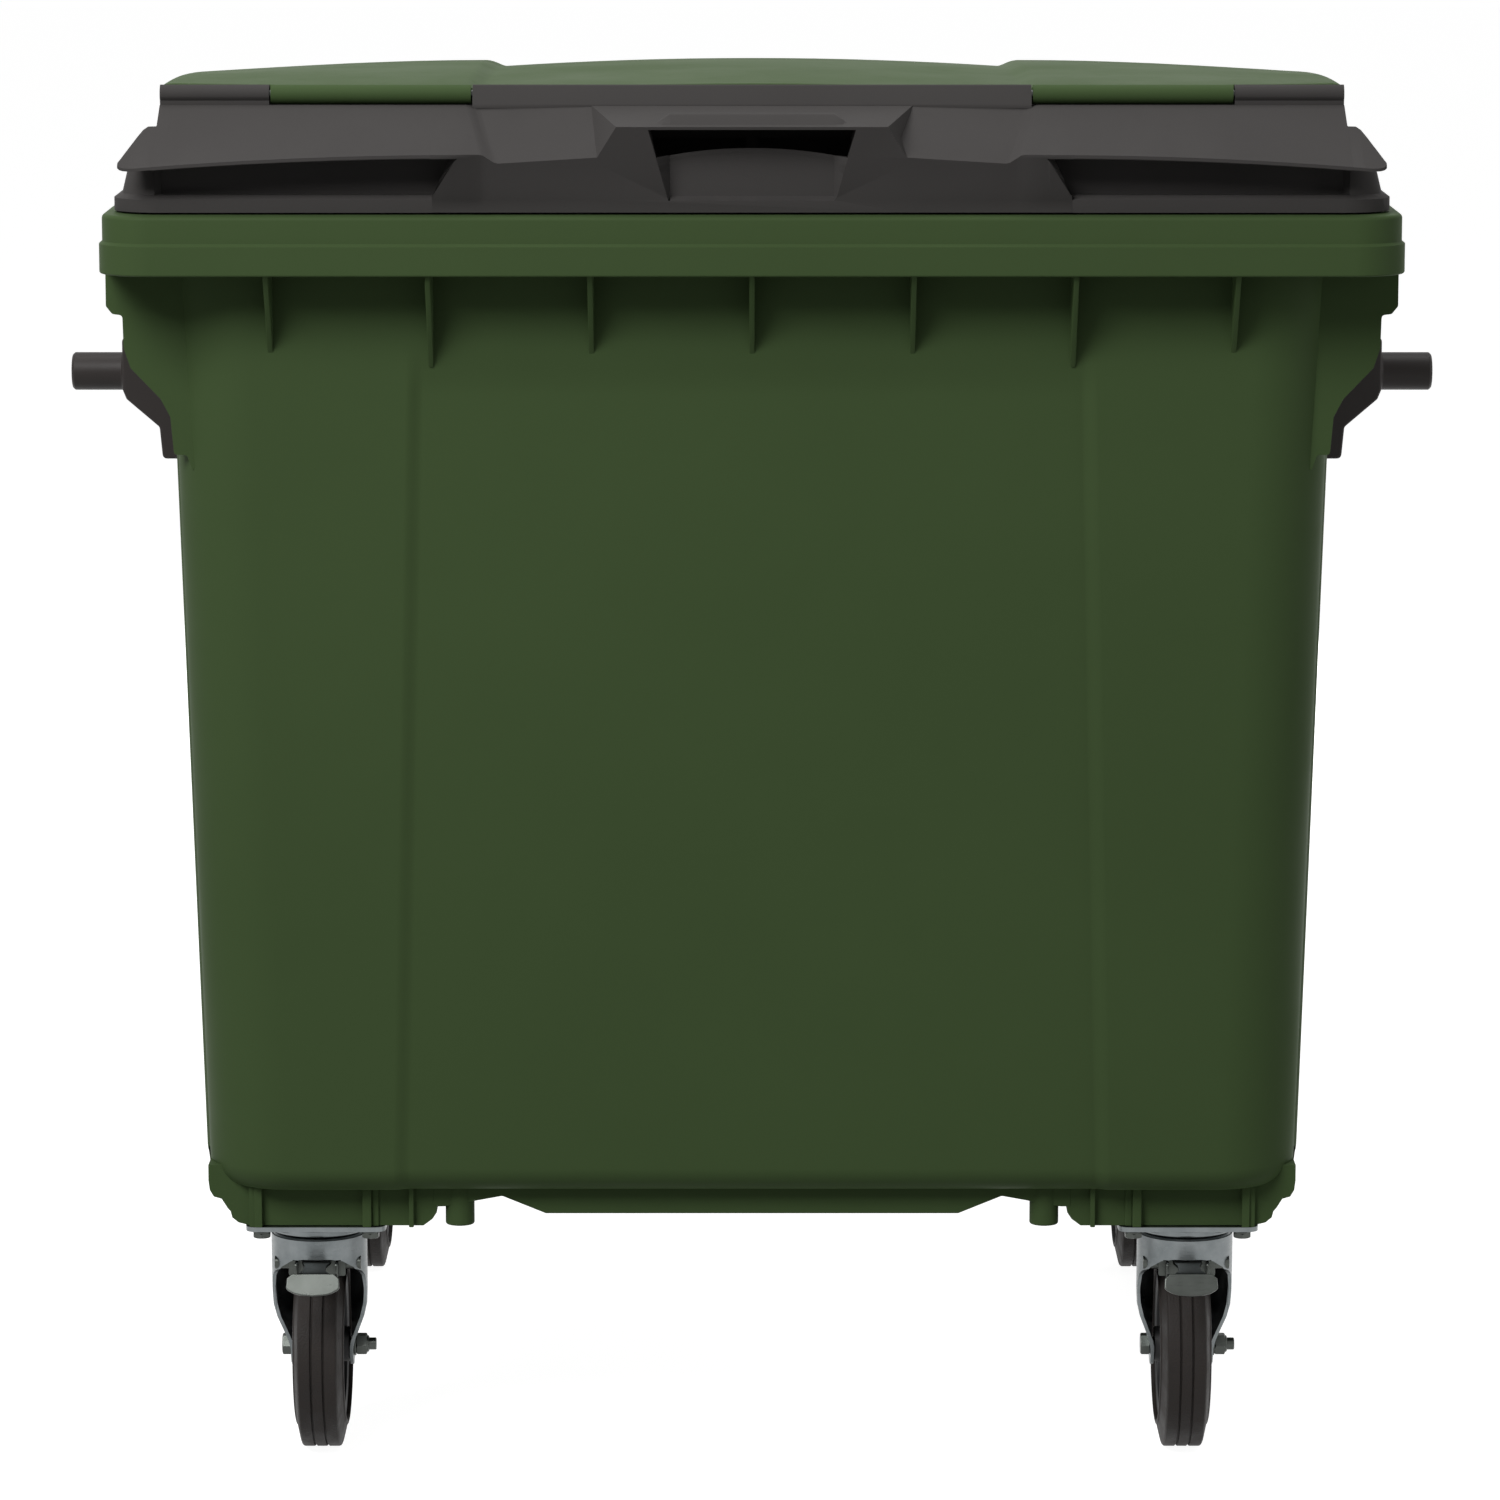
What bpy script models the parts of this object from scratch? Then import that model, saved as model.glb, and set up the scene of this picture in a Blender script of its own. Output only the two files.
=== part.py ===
"""Four-wheeled waste container with a lid set in its lid.

Metres, +Z up, front towards -Y. The origin is on the floor under the middle of the container.
Every size that can be set by itself is named once below; places follow from those names.
"""
import math

import bmesh
import bpy
from mathutils import Matrix, Vector

# Fits
seat_gap = 0.0003
running_gap = 0.0006
overrun = 0.003
weld = 0.00001

# Rim of the tub
rim_half_x = 0.605
rim_half_y = 0.535
rim_upper_band = 0.0265
rim_lower_band = 0.029
rim_step = 0.002
rim_edge = 0.004
rim_corner = 0.050

# Walls and floor of the tub
wall = 0.0045
rim_reach = 0.058
side_taper = 0.0265
front_taper = 0.030
side_head_x = rim_half_x - rim_reach
side_foot_x = side_head_x - side_taper
front_head_y = rim_half_y - rim_reach
front_foot_y = front_head_y - front_taper
wall_corner = 0.078
foot_radius = 0.025
floor_height = 0.038
tub_height = 0.9445
floor_margin = 0.010
pan_depth = 0.026
pan_half_x = 0.205
pan_inset_y = 0.049
pan_half_y = front_foot_y - pan_inset_y
pan_slope = 0.012
pan_corner = 0.020
dent_depth = 0.005
dent_foot_half = 0.328
dent_head_half = 0.303
dent_fade = 0.050
dent_drop = 0.1225
dent_step = 0.010
bulge = 0.006
bulge_half = 0.350

# Ribs under the rim
rib_thick = 0.005
rib_pitch = 0.150
rib_height = 0.0790
rib_long_extra = 0.0135
rib_side_y = 0.250
post_height = 0.190
post_inset_y = 0.030
post_outline_shares = [
    (1.000, 0.187), (0.925, 0.226), (0.806, 0.232), (0.796, 0.395), (0.717, 0.494),
    (0.365, 0.647), (0.252, 0.737), (0.213, 0.926), (0.060, 0.926),
]

# Caster seats, web and pegs under the floor
caster_inset_x = 0.0995
caster_inset_y = 0.082
seat_half_x = 0.0995
seat_shift_x = 0.0175
seat_front = 0.056
seat_back = 0.065
seat_round = 0.013
seat_pad = 0.005
flare_reach = 0.0235
flare_front = 0.013
flare_outline_shares = [(0.00, 0.40), (0.43, 0.46), (0.82, 0.62), (0.98, 0.94), (1.00, 1.30)]
seat_pocket = 0.008
seat_pocket_shares = [(-0.480, 0.480), (0.645, 0.935), (1.000, 1.330)]
web_inset_y = 0.036
web_thick = 0.005
web_shares = [(0.970, 0.000), (1.175, 0.660), (1.450, 0.260), (1.500, 0.260)]
peg_radius = 0.014
peg_inset_x = 0.139
peg_inset_y = 0.0445

# Drain
drain_inset_y = 0.088
drain_radius = 0.025
drain_flange = 0.007
drain_flange_thick = 0.0055
drain_seal_thick = 0.002
drain_neck = 0.010
drain_grip = 0.006

# Trunnions
trunnion_reach = 0.1375
trunnion_radius = 0.019
trunnion_length = 0.054
trunnion_drop = 0.1975
trunnion_edge = 0.003
bracket_half_y = 0.045
bracket_rise = 0.060
bracket_drop = 0.084
bracket_outline_shares = [
    (0.60, 1.00), (1.00, 0.60), (1.00, -0.175), (0.955, -0.285), (0.555, -0.620), (0.520, -1.00),
]

# Rear hinge of the main lid
lid_hinge_x = 0.350
lid_hinge_rise = 0.030
lid_hinge_back = 0.0015
lid_knuckle_half = 0.045
lid_knuckle_radius = 0.0105
lug_thick = 0.010
lug_radius = 0.0125
lid_pin_radius = 0.005
lid_pin_head = 0.008
lid_pin_head_thick = 0.003

# Main lid frame
lid_wall = 0.005
skirt_in_x = 0.011
skirt_in_y = 0.025
skirt_half_x = rim_half_x - skirt_in_x
skirt_half_y = rim_half_y - skirt_in_y
skirt_height = 0.0135
skirt_corner = 0.045
shoulder_in = 0.0075
shoulder_up = 0.004
frame_wall_up = 0.0225
frame_wall_in = 0.0055
land_height = 0.0857
land_fall = 0.040
opening_side = 0.067
opening_front_in = 0.110
opening_rear_in = 0.110
opening_corner = 0.030
opening_lip = 0.030
land_width = 0.0325

# Grip beam along the front of the main lid
wing_reach = 0.025
wing_edge_up = 0.0567
wing_skin = 0.004
wing_lip = 0.003
wing_droop = 0.0138
wing_droop_start = 0.270
wing_in = 0.008
slope_in = 0.0365
wing_half_x = skirt_half_x - wing_in
slope_half_x = skirt_half_x - slope_in
slope_depth = 0.100
slope_rise = 0.0395
beam_depth = 0.1185
wing_tip_back = 0.055
wing_tip_step = 0.0002
wing_tip_shares = [
    (-0.35, 1.00, 0.00), (0.00, 1.00, 0.00), (0.35, 1.00, 0.00), (0.62, 0.70, 0.01),
    (0.90, 0.36, 0.06), (1.00, 0.20, 0.14),
]
side_pocket_in_top = 0.2714
side_pocket_in_foot = 0.2950
side_pocket_front_in = 0.009
side_pocket_back_in = 0.008
side_pocket_out_front = wing_half_x - side_pocket_front_in
side_pocket_out_back = slope_half_x - side_pocket_back_in
side_pocket_depth = 0.080
pocket_floor_up = 0.003
boss_half_top = 0.126
boss_half_foot = 0.1427
boss_front_up = 0.0827
boss_back_up = 0.0957
boss_depth = 0.095
boss_front_in = 0.003
grip_half_top = 0.0957
grip_half_foot = 0.0775
grip_top_up = 0.0797
grip_foot_up = 0.0127
grip_depth = 0.085
grip_lip_depth = 0.065
grip_lip_up = 0.0532
grip_lip_arch = 0.008
grip_arch_shares = [(-1.0, 0.0), (-0.5, 0.75), (0.0, 1.0), (0.5, 0.75), (1.0, 0.0)]
grip_scoop_shares = [(0.00, 0.00), (0.30, 0.05), (0.65, 0.32), (0.90, 0.72), (1.00, 1.00)]
trench_wall = 0.006

# Hinge of the inner lid
hinge_inset = 0.010
hinge_clear = 0.0007
hinge_radius = 0.009
hinge_pin_radius = 0.004
end_knuckle = 0.1023
knuckle_gap = 0.0015
knuckle_length = 0.1872
cheek_thick = 0.003
bar_gap = 0.0382
bar_front = 0.012
bar_edge = 0.004
pin_tail = 0.018

# Inner lid
inner_side = 0.0015
inner_front_gap = 0.0125
inner_rear_lap = 0.018
inner_skin = 0.0045
crown_up = 0.0114
crown_fall = 0.0344
crown_at_share = 0.256
panel_step = 0.006
panel_half_x = 0.250
panel_step_width = 0.020
panel_dome = 0.008
side_fall = 0.0145
side_fall_front_share = 0.20
side_fall_run_share = 0.54
inner_corner = 0.012

# Casters
plate_half_x = 0.0675
plate_half_y = 0.055
plate_thick = 0.006
race_radius = 0.042
race_depth = 0.0065
bolt_x = 0.0525
bolt_y = 0.040
bolt_radius = 0.005
bolt_flats = 0.017
bolt_head = 0.0064
bolt_grip = 0.022
head_radius = 0.0465
head_skin = 0.005
head_skirt = 0.0215
head_side = 0.0040
kingpin_radius = 0.007
kingpin_cap_radius = 0.011
kingpin_cap = 0.003
kingpin_flange_radius = 0.013
kingpin_flange = 0.007
wheel_radius = 0.100
wheel_clearance = 0.014
wheel_trail = 0.040
tyre_half = 0.025
tyre_flat_half = 0.0195
tyre_shoulder = 0.009
tyre_depth = 0.026
rim_radius = wheel_radius - tyre_depth
rim_half = 0.021
rim_web_half = 0.005
rim_thick = 0.008
hub_radius = 0.017
hub_half = 0.0265
fork_thick = 0.0035
fork_foot_half = 0.0305
fork_shares = [
    (1.000, -0.839, 0.968, 1.0), (0.620, -0.473, 1.118, 1.0), (0.400, -0.043, 1.204, 0.80),
    (0.135, 0.258, 1.247, 0.0), (0.000, 0.452, 1.269, 0.0), (-0.130, 0.581, 1.140, 0.0),
]
axle_radius = 0.006
axle_flats = 0.019
axle_head = 0.009
axle_tail = 0.0075
nut_height = 0.014

# Brake pedals of the front casters
pedal_half_x = 0.026
pedal_height = 0.0215
pedal_depth = 0.020
pedal_reach = 0.107
pedal_round = 0.006
neck_half_x = 0.012
neck_thick = 0.004
neck_drop = 0.0016
pivot_y = -0.020
pivot_drop = 0.0081
pivot_radius = 0.003
pivot_head = 0.005
pivot_head_thick = 0.0025
sleeve_radius = 0.0065
shoe_radius = 0.004
shoe_half_x = 0.018
shoe_front = 0.0165
shoe_drop = 0.0145

# Facets of the round pieces
wheel_sides = 24
head_sides = 20
round_sides = 16
small_sides = 8
hex_sides = 6
corner_steps = 5
foot_steps = 3
grid_y_shares = [0.0, 0.04, 0.18, 0.36, 0.54, 0.72, 0.88, 0.96, 1.0]

# Heights and places that several pieces share
head_foot_space = kingpin_flange + running_gap
caster_height = (wheel_radius * 2 + wheel_clearance + head_foot_space + head_skin + running_gap
                 + race_depth + plate_thick + seat_gap)
plate_foot = caster_height - seat_gap - plate_thick
race_foot = plate_foot - race_depth
head_top = race_foot - running_gap
head_foot = head_top - head_skirt
neck_top_z = head_foot - neck_drop
pivot_z = head_foot - pivot_drop
shoe_y = pivot_y - shoe_front
shoe_z = pivot_z - shoe_drop
caster_x = side_foot_x - caster_inset_x
caster_y = front_foot_y - caster_inset_y
floor_z = caster_height + floor_height
rim_top = floor_z + tub_height
rim_mid = rim_top - rim_upper_band
rim_foot = rim_mid - rim_lower_band
trunnion_z = rim_top - trunnion_drop
peg_x = caster_x - peg_inset_x
peg_y = front_foot_y - peg_inset_y
web_y = front_foot_y - web_inset_y
drain_y = pan_half_y - drain_inset_y
skirt_foot = rim_top + seat_gap
skirt_head = skirt_foot + skirt_height
shoulder_z = skirt_head + shoulder_up
lid_axis_y = skirt_half_y + lid_hinge_back
lid_axis_z = rim_top + lid_hinge_rise
opening_half_x = skirt_half_x - opening_side
opening_front = skirt_half_y - opening_front_in
opening_rear = skirt_half_y - opening_rear_in
land_z = skirt_foot + land_height
wing_front_y = skirt_half_y + wing_reach
wing_edge_z = skirt_foot + wing_edge_up
beam_top = wing_edge_z + slope_rise
beam_back = wing_front_y - beam_depth
slope_back = wing_front_y - slope_depth
side_pocket_back = wing_front_y - side_pocket_depth
boss_back_y = wing_front_y - boss_depth
grip_back = wing_front_y - grip_depth
grip_lip_y = wing_front_y - grip_lip_depth
boss_front_z = skirt_foot + boss_front_up
boss_back_z = skirt_foot + boss_back_up
grip_top_z = skirt_foot + grip_top_up
grip_foot_z = skirt_foot + grip_foot_up
grip_lip_z = skirt_foot + grip_lip_up
hinge_y = slope_back - hinge_inset
hinge_z = beam_top + hinge_clear + hinge_radius
end_knuckle_in = slope_half_x - end_knuckle
knuckle_out = end_knuckle_in - knuckle_gap
knuckle_in = knuckle_out - knuckle_length
cheek_out = knuckle_in - knuckle_gap
bar_half_x = cheek_out - cheek_thick - bar_gap
inner_half_x = slope_half_x - inner_side
inner_front = -hinge_y + inner_front_gap
inner_rear = opening_rear + inner_rear_lap
crown_z = hinge_z + crown_up
inner_depth = inner_rear - inner_front
crown_y = inner_front + inner_depth * crown_at_share
side_start_x = panel_half_x + panel_step_width


def collection(name):
    found = bpy.data.collections.new(name)
    bpy.context.scene.collection.children.link(found)
    return found


for leftover in list(bpy.data.objects):
    bpy.data.objects.remove(leftover, do_unlink=True)
parts = collection("waste_container")
tools = collection("tools")


def finish(name, colour, roughness, metallic=0.0):
    """A plain Principled material."""
    material = bpy.data.materials.new(name)
    material.use_nodes = True
    shader = material.node_tree.nodes["Principled BSDF"]
    shader.inputs["Base Color"].default_value = (*colour, 1.0)
    shader.inputs["Roughness"].default_value = roughness
    shader.inputs["Metallic"].default_value = metallic
    material.diffuse_color = (*colour, 1.0)
    return material


green = finish("green_plastic", (0.045, 0.085, 0.035), 0.42)
black = finish("black_plastic", (0.055, 0.050, 0.050), 0.50)
trunnion_black = finish("trunnion_plastic", (0.030, 0.026, 0.025), 0.55)
rubber = finish("rubber", (0.016, 0.016, 0.017), 0.80)
hub_plastic = finish("wheel_plastic", (0.022, 0.022, 0.023), 0.55)
zinc = finish("zinc_steel", (0.62, 0.65, 0.68), 0.32, 1.0)


# Building blocks


def from_bmesh(name, bm, facing=True):
    """Link a new tool object made from a bmesh."""
    if facing:
        bmesh.ops.recalc_face_normals(bm, faces=bm.faces)
    mesh = bpy.data.meshes.new(name)
    bm.to_mesh(mesh)
    bm.free()
    piece = bpy.data.objects.new(name, mesh)
    piece.hide_render = True
    piece.display_type = 'WIRE'
    tools.objects.link(piece)
    return piece


def settle(piece):
    """Make the modifiers and the place of a piece part of its mesh."""
    bpy.context.view_layer.update()
    graph = bpy.context.evaluated_depsgraph_get()
    mesh = bpy.data.meshes.new_from_object(piece.evaluated_get(graph))
    mesh.transform(piece.matrix_world)
    piece.modifiers.clear()
    piece.data = mesh
    piece.matrix_world = Matrix.Identity(4)
    return piece


def combine(piece, others, operation):
    """Join or cut a piece with others, which are used up."""
    for other in others:
        step = piece.modifiers.new(operation.lower(), 'BOOLEAN')
        step.operation = operation
        step.solver = 'EXACT'
        step.object = other
    settle(piece)
    for other in others:
        bpy.data.objects.remove(other, do_unlink=True)
    return piece


def fuse(piece, *others):
    return combine(piece, others, 'UNION')


def cut(piece, *others):
    return combine(piece, others, 'DIFFERENCE')


def box(low, high, round_off=0.0):
    """A box between two corners, with rounded edges if asked."""
    bm = bmesh.new()
    bmesh.ops.create_cube(bm, size=1.0)
    low, high = Vector(low), Vector(high)
    size = high - low
    middle = (high + low) / 2
    for vert in bm.verts:
        vert.co = Vector(a * b for a, b in zip(vert.co, size)) + middle
    piece = from_bmesh("box", bm)
    if round_off:
        soften(piece, round_off)
    return piece


def soften(piece, width, segments=2):
    """Round the edges of a piece."""
    step = piece.modifiers.new("soften", 'BEVEL')
    step.width = width
    step.segments = segments
    step.limit_method = 'ANGLE'
    return settle(piece)


def rod(radius, start, end, sides, turn=0.0):
    """A cylinder or prism between two points."""
    start, end = Vector(start), Vector(end)
    bm = bmesh.new()
    bmesh.ops.create_cone(
        bm, cap_ends=True, segments=sides, radius1=radius, radius2=radius,
        depth=(end - start).length, matrix=Matrix.Rotation(turn, 4, 'Z'))
    piece = from_bmesh("rod", bm)
    lean = (end - start).to_track_quat('Z', 'Y').to_matrix().to_4x4()
    piece.matrix_world = Matrix.Translation((start + end) / 2) @ lean
    return settle(piece)


def turned(profile, sides, turn=0.0):
    """A turned shape about Z from a closed profile of (radius, height) points."""
    bm = bmesh.new()
    corners = []
    for radius, height in profile:
        spot = (radius * math.cos(turn), radius * math.sin(turn), height)
        corners.append(bm.verts.new(spot))
    for here, after in zip(corners, corners[1:]):
        bm.edges.new((here, after))
    if profile[0][0] > 0 or profile[-1][0] > 0:
        bm.edges.new((corners[-1], corners[0]))
    piece = from_bmesh("turned", bm, facing=False)
    lathe = piece.modifiers.new("lathe", 'SCREW')
    lathe.axis = 'Z'
    lathe.steps = sides
    lathe.render_steps = sides
    lathe.use_merge_vertices = True
    lathe.merge_threshold = weld
    settle(piece)
    face_out(piece)
    return piece


def face_out(piece):
    """Weld doubles and turn the faces of a closed piece outwards."""
    bm = bmesh.new()
    bm.from_mesh(piece.data)
    bmesh.ops.remove_doubles(bm, verts=bm.verts, dist=weld)
    bmesh.ops.recalc_face_normals(bm, faces=bm.faces)
    bm.to_mesh(piece.data)
    bm.free()
    return piece


def plate(outline, thick, place):
    """A flat outline with a thickness, put where the matrix says."""
    curve = bpy.data.curves.new("outline", 'CURVE')
    curve.dimensions = '2D'
    curve.fill_mode = 'BOTH'
    curve.extrude = thick / 2
    line = curve.splines.new('POLY')
    line.points.add(len(outline) - 1)
    for point, (across, up) in zip(line.points, outline):
        point.co = (across, up, 0.0, 1.0)
    line.use_cyclic_u = True
    drawn = bpy.data.objects.new("outline", curve)
    drawn.matrix_world = place
    tools.objects.link(drawn)
    bpy.context.view_layer.update()
    graph = bpy.context.evaluated_depsgraph_get()
    mesh = bpy.data.meshes.new_from_object(drawn.evaluated_get(graph))
    piece = bpy.data.objects.new("plate", mesh)
    piece.matrix_world = place
    tools.objects.link(piece)
    bpy.data.objects.remove(drawn, do_unlink=True)
    return face_out(settle(piece))


def loft(sections, hoop=False):
    """A closed solid through cross-sections with the same number of points, or a hoop of them."""
    bm = bmesh.new()
    rows = [[bm.verts.new(spot) for spot in section] for section in sections]
    steps = list(zip(rows, rows[1:]))
    if hoop:
        steps.append((rows[-1], rows[0]))
    for here, after in steps:
        for i in range(len(here)):
            j = (i + 1) % len(here)
            bm.faces.new((here[i], here[j], after[j], after[i]))
    if not hoop:
        bm.faces.new(rows[0])
        bm.faces.new(rows[-1])
    return from_bmesh("loft", bm)


def side_points(half, dent, flat):
    """Four points along one straight side, in the side's own direction."""
    return [(-half - dent_step, flat), (-half, flat - dent),
            (half, flat - dent), (half + dent_step, flat)]


def ring(z, half_x, front, rear, radius, dent=0.0, dent_half=dent_foot_half, out=0.0):
    """A closed ring of points round the container, seen from above against the clock."""
    half_long = min(bulge_half, front - radius - dent_step * 2, rear - radius - dent_step * 2)
    half_wide = min(dent_half, half_x - radius - dent_step * 2)
    spots = []
    sides = [
        (half_wide, dent, front, 0), (half_long, -out, half_x, 1),
        (half_wide, dent, rear, 2), (half_long, -out, half_x, 3),
    ]
    for half, inward, flat, quarter in sides:
        turn = Matrix.Rotation(quarter * math.pi / 2, 2)
        for across, away in side_points(half, inward, flat):
            spots.append(turn @ Vector((across, -away)))
        centre_away = flat - radius
        centre_across = (half_x if quarter in (0, 2) else (rear if quarter == 1 else front)) - radius
        for k in range(corner_steps + 1):
            angle = -math.pi / 2 + k * math.pi / 2 / corner_steps
            reach = Vector((centre_across + radius * math.cos(angle),
                            -centre_away + radius * math.sin(angle)))
            spots.append(turn @ reach)
    return [Vector((spot.x, spot.y, z)) for spot in spots]


def publish(piece, name, material, origin=(0.0, 0.0, 0.0)):
    """Name a finished piece, give it its finish and set its origin."""
    mesh = piece.data
    mesh.transform(Matrix.Translation(-Vector(origin)))
    mesh.materials.clear()
    mesh.materials.append(material)
    return place_copy(piece, mesh, name, Matrix.Translation(origin))


def place_copy(piece, mesh, name, place):
    """Link a node's object for a mesh, and drop the tool it came from."""
    if piece is not None:
        bpy.data.objects.remove(piece, do_unlink=True)
    node = bpy.data.objects.new(name, mesh)
    node.matrix_world = place
    mesh.shade_smooth()
    mesh.set_sharp_from_angle(angle=math.radians(35))
    parts.objects.link(node)
    return node


def across_y(x_side):
    """Turn an outline drawn in (outward X, Z) into place on one side of the container."""
    return Matrix(((x_side, 0, 0, 0), (0, 0, -1, 0), (0, 1, 0, 0), (0, 0, 0, 1)))


def across_x(y_side):
    """Turn an outline drawn in (outward Y, Z) into place at the front or the rear."""
    return Matrix(((0, 0, 1, 0), (y_side, 0, 0, 0), (0, 1, 0, 0), (0, 0, 0, 1)))


# Tub


def up_share(z):
    return (z - floor_z) / (rim_top - floor_z)


def wall_x(z):
    """Outer half width of the tub's corners at a height."""
    return side_foot_x + up_share(z) * (side_head_x - side_foot_x)


def wall_y(z):
    """Outer half depth of the tub's walls at a height."""
    return front_foot_y + up_share(z) * (front_head_y - front_foot_y)


def dent_half_at(z):
    return dent_foot_half + up_share(z) * (dent_head_half - dent_foot_half)


def corner_x(y, z):
    """Outer half width of the rounded corner at a depth y from the middle."""
    from_centre = y - (wall_y(z) - wall_corner)
    return wall_x(z) - wall_corner + math.sqrt(wall_corner ** 2 - from_centre ** 2)


def wall_ring(z, inset, dent):
    half_x = wall_x(z) - inset
    half_y = wall_y(z) - inset
    radius = wall_corner - inset
    return ring(z, half_x, half_y, half_y, radius, dent, dent_half_at(z), bulge)


def rim_ring(z, inset):
    half_x = rim_half_x - inset
    half_y = rim_half_y - inset
    return ring(z, half_x, half_y, half_y, rim_corner - inset, 0.0, dent_head_half)


def pan_ring(z, grow):
    half_x = pan_half_x + grow
    half_y = pan_half_y + grow
    return ring(z, half_x, half_y, half_y, pan_corner)


def foot_rings(bottom, radius, inset):
    """The rounding between the floor and the walls, from the floor up."""
    rings = []
    for k in range(foot_steps + 1):
        angle = k * math.pi / 2 / foot_steps
        z = bottom + radius * (1 - math.cos(angle))
        rings.append(wall_ring(z, inset + radius * (1 - math.sin(angle)), dent_depth))
    return rings


def face_rings(skin):
    """One face of the tub from the drain pan up to the rim: the outer one, or inside by a skin."""
    bottom = floor_z + skin
    dent_top = rim_top - dent_drop
    rings = [pan_ring(bottom - pan_depth, wall - skin - pan_slope), pan_ring(bottom, wall - skin)]
    rings.append(wall_ring(bottom, foot_radius + floor_margin, 0.0))
    rings += foot_rings(bottom, foot_radius - skin, skin)
    rings.append(wall_ring(dent_top - dent_fade, skin, dent_depth))
    rings.append(wall_ring(dent_top, skin, 0.0))
    return rings


def tub_rings():
    """Round the tub's whole section: up its inner face, over the rim, and down its outer face."""
    over_rim = [
        wall_ring(rim_top, wall, 0.0),
        rim_ring(rim_top, rim_step + rim_edge),
        rim_ring(rim_top - rim_edge, rim_step),
        rim_ring(rim_mid, rim_step),
        rim_ring(rim_mid - rim_step, 0.0),
        rim_ring(rim_foot, 0.0),
        rim_ring(rim_foot, wall),
        rim_ring(rim_mid - rim_step, wall),
        rim_ring(rim_mid, wall + rim_step),
        rim_ring(rim_top - wall, wall + rim_step),
        wall_ring(rim_top - wall, 0.0, 0.0),
    ]
    return face_rings(wall) + over_rim + list(reversed(face_rings(0.0)))


def front_rib(x, y_side, height):
    """One rib between the front or rear wall and the rim, in (outward Y, Z)."""
    top = rim_top - wall / 2
    band = rim_half_y - rim_step - wall / 2
    tip = rim_foot - height
    outline = [
        (wall_y(top) - wall / 2, top), (band, top), (band, rim_foot + rim_edge),
        (band, rim_foot), (wall_y(tip), tip), (wall_y(tip) - wall / 2, tip),
    ]
    return plate(outline, rib_thick, Matrix.Translation((x, 0, 0)) @ across_x(y_side))


def side_rib(x_side, y):
    """One plain rib between a side wall and the rim, in (outward X, Z)."""
    top = rim_top - wall / 2
    band = rim_half_x - rim_step - wall / 2
    tip = rim_foot - rib_height
    foot = wall_x(tip) + bulge
    head = wall_x(top) + bulge
    outline = [
        (head - wall / 2, top), (band, top), (band, rim_foot), (foot, tip), (foot - wall / 2, tip),
    ]
    return plate(outline, rib_thick, Matrix.Translation((0, y, 0)) @ across_y(x_side))


def post(x_side, y, foot_x, head_x):
    """A stepped bracket under the side rim, from the wall out to the band."""
    top = rim_top - wall / 2
    band = rim_half_x - rim_step - wall / 2
    tip = rim_foot - post_height
    reach = band - foot_x
    outline = [(head_x - wall / 2, top), (band, top)]
    for out_share, down_share in post_outline_shares:
        outline.append((foot_x + reach * out_share, rim_foot - post_height * down_share))
    outline.append((foot_x, tip))
    outline.append((foot_x - wall / 2, tip))
    return plate(outline, rib_thick, Matrix.Translation((0, y, 0)) @ across_y(x_side))


def rim_ribs():
    pieces = []
    for y_side in (-1, 1):
        for k in range(-3, 4):
            height = rib_height + (rib_long_extra if abs(k) == 2 else 0.0)
            pieces.append(front_rib(k * rib_pitch, y_side, height))
    tip = rim_foot - post_height
    post_y = wall_y(tip) - post_inset_y
    rib_y = bracket_half_y + running_gap + rib_thick
    for x_side in (-1, 1):
        for y_side in (-1, 1):
            pieces.append(side_rib(x_side, y_side * rib_side_y))
            pieces.append(post(x_side, y_side * post_y, corner_x(post_y, tip), corner_x(post_y, rim_top)))
            pieces.append(post(x_side, y_side * rib_y, wall_x(tip) + bulge, wall_x(rim_top) + bulge))
    return pieces


def caster_seat(x_side, y_side):
    """The block that a caster bolts to, ribbed on its outer face, in (outward X, Z)."""
    inner = caster_x - seat_half_x - seat_shift_x
    outer = caster_x + seat_half_x - seat_shift_x
    top = floor_z + wall / 2
    foot = caster_height
    outline = [
        (inner, top), (inner, foot + seat_round), (inner + seat_round / 3, foot + seat_round / 2),
        (inner + seat_round, foot), (outer - seat_round, foot), (outer, foot + seat_round / 2),
        (outer + seat_round / 3, foot + seat_round), (outer + seat_round / 3, top),
    ]
    depth = seat_front + seat_back
    middle = y_side * (caster_y + (seat_front - seat_back) / 2)
    block = plate(outline, depth, Matrix.Translation((0, middle, 0)) @ across_y(x_side))
    face = caster_y + seat_front
    low, high = foot + seat_pad, floor_z - wall
    for start, end in seat_pocket_shares:
        xs = sorted(x_side * (caster_x - plate_half_x * share) for share in (start, end))
        ys = sorted((y_side * (face - seat_pocket), y_side * (face + overrun)))
        cut(block, box((xs[0], ys[0], low), (xs[1], ys[1], high)))
    return block


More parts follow.
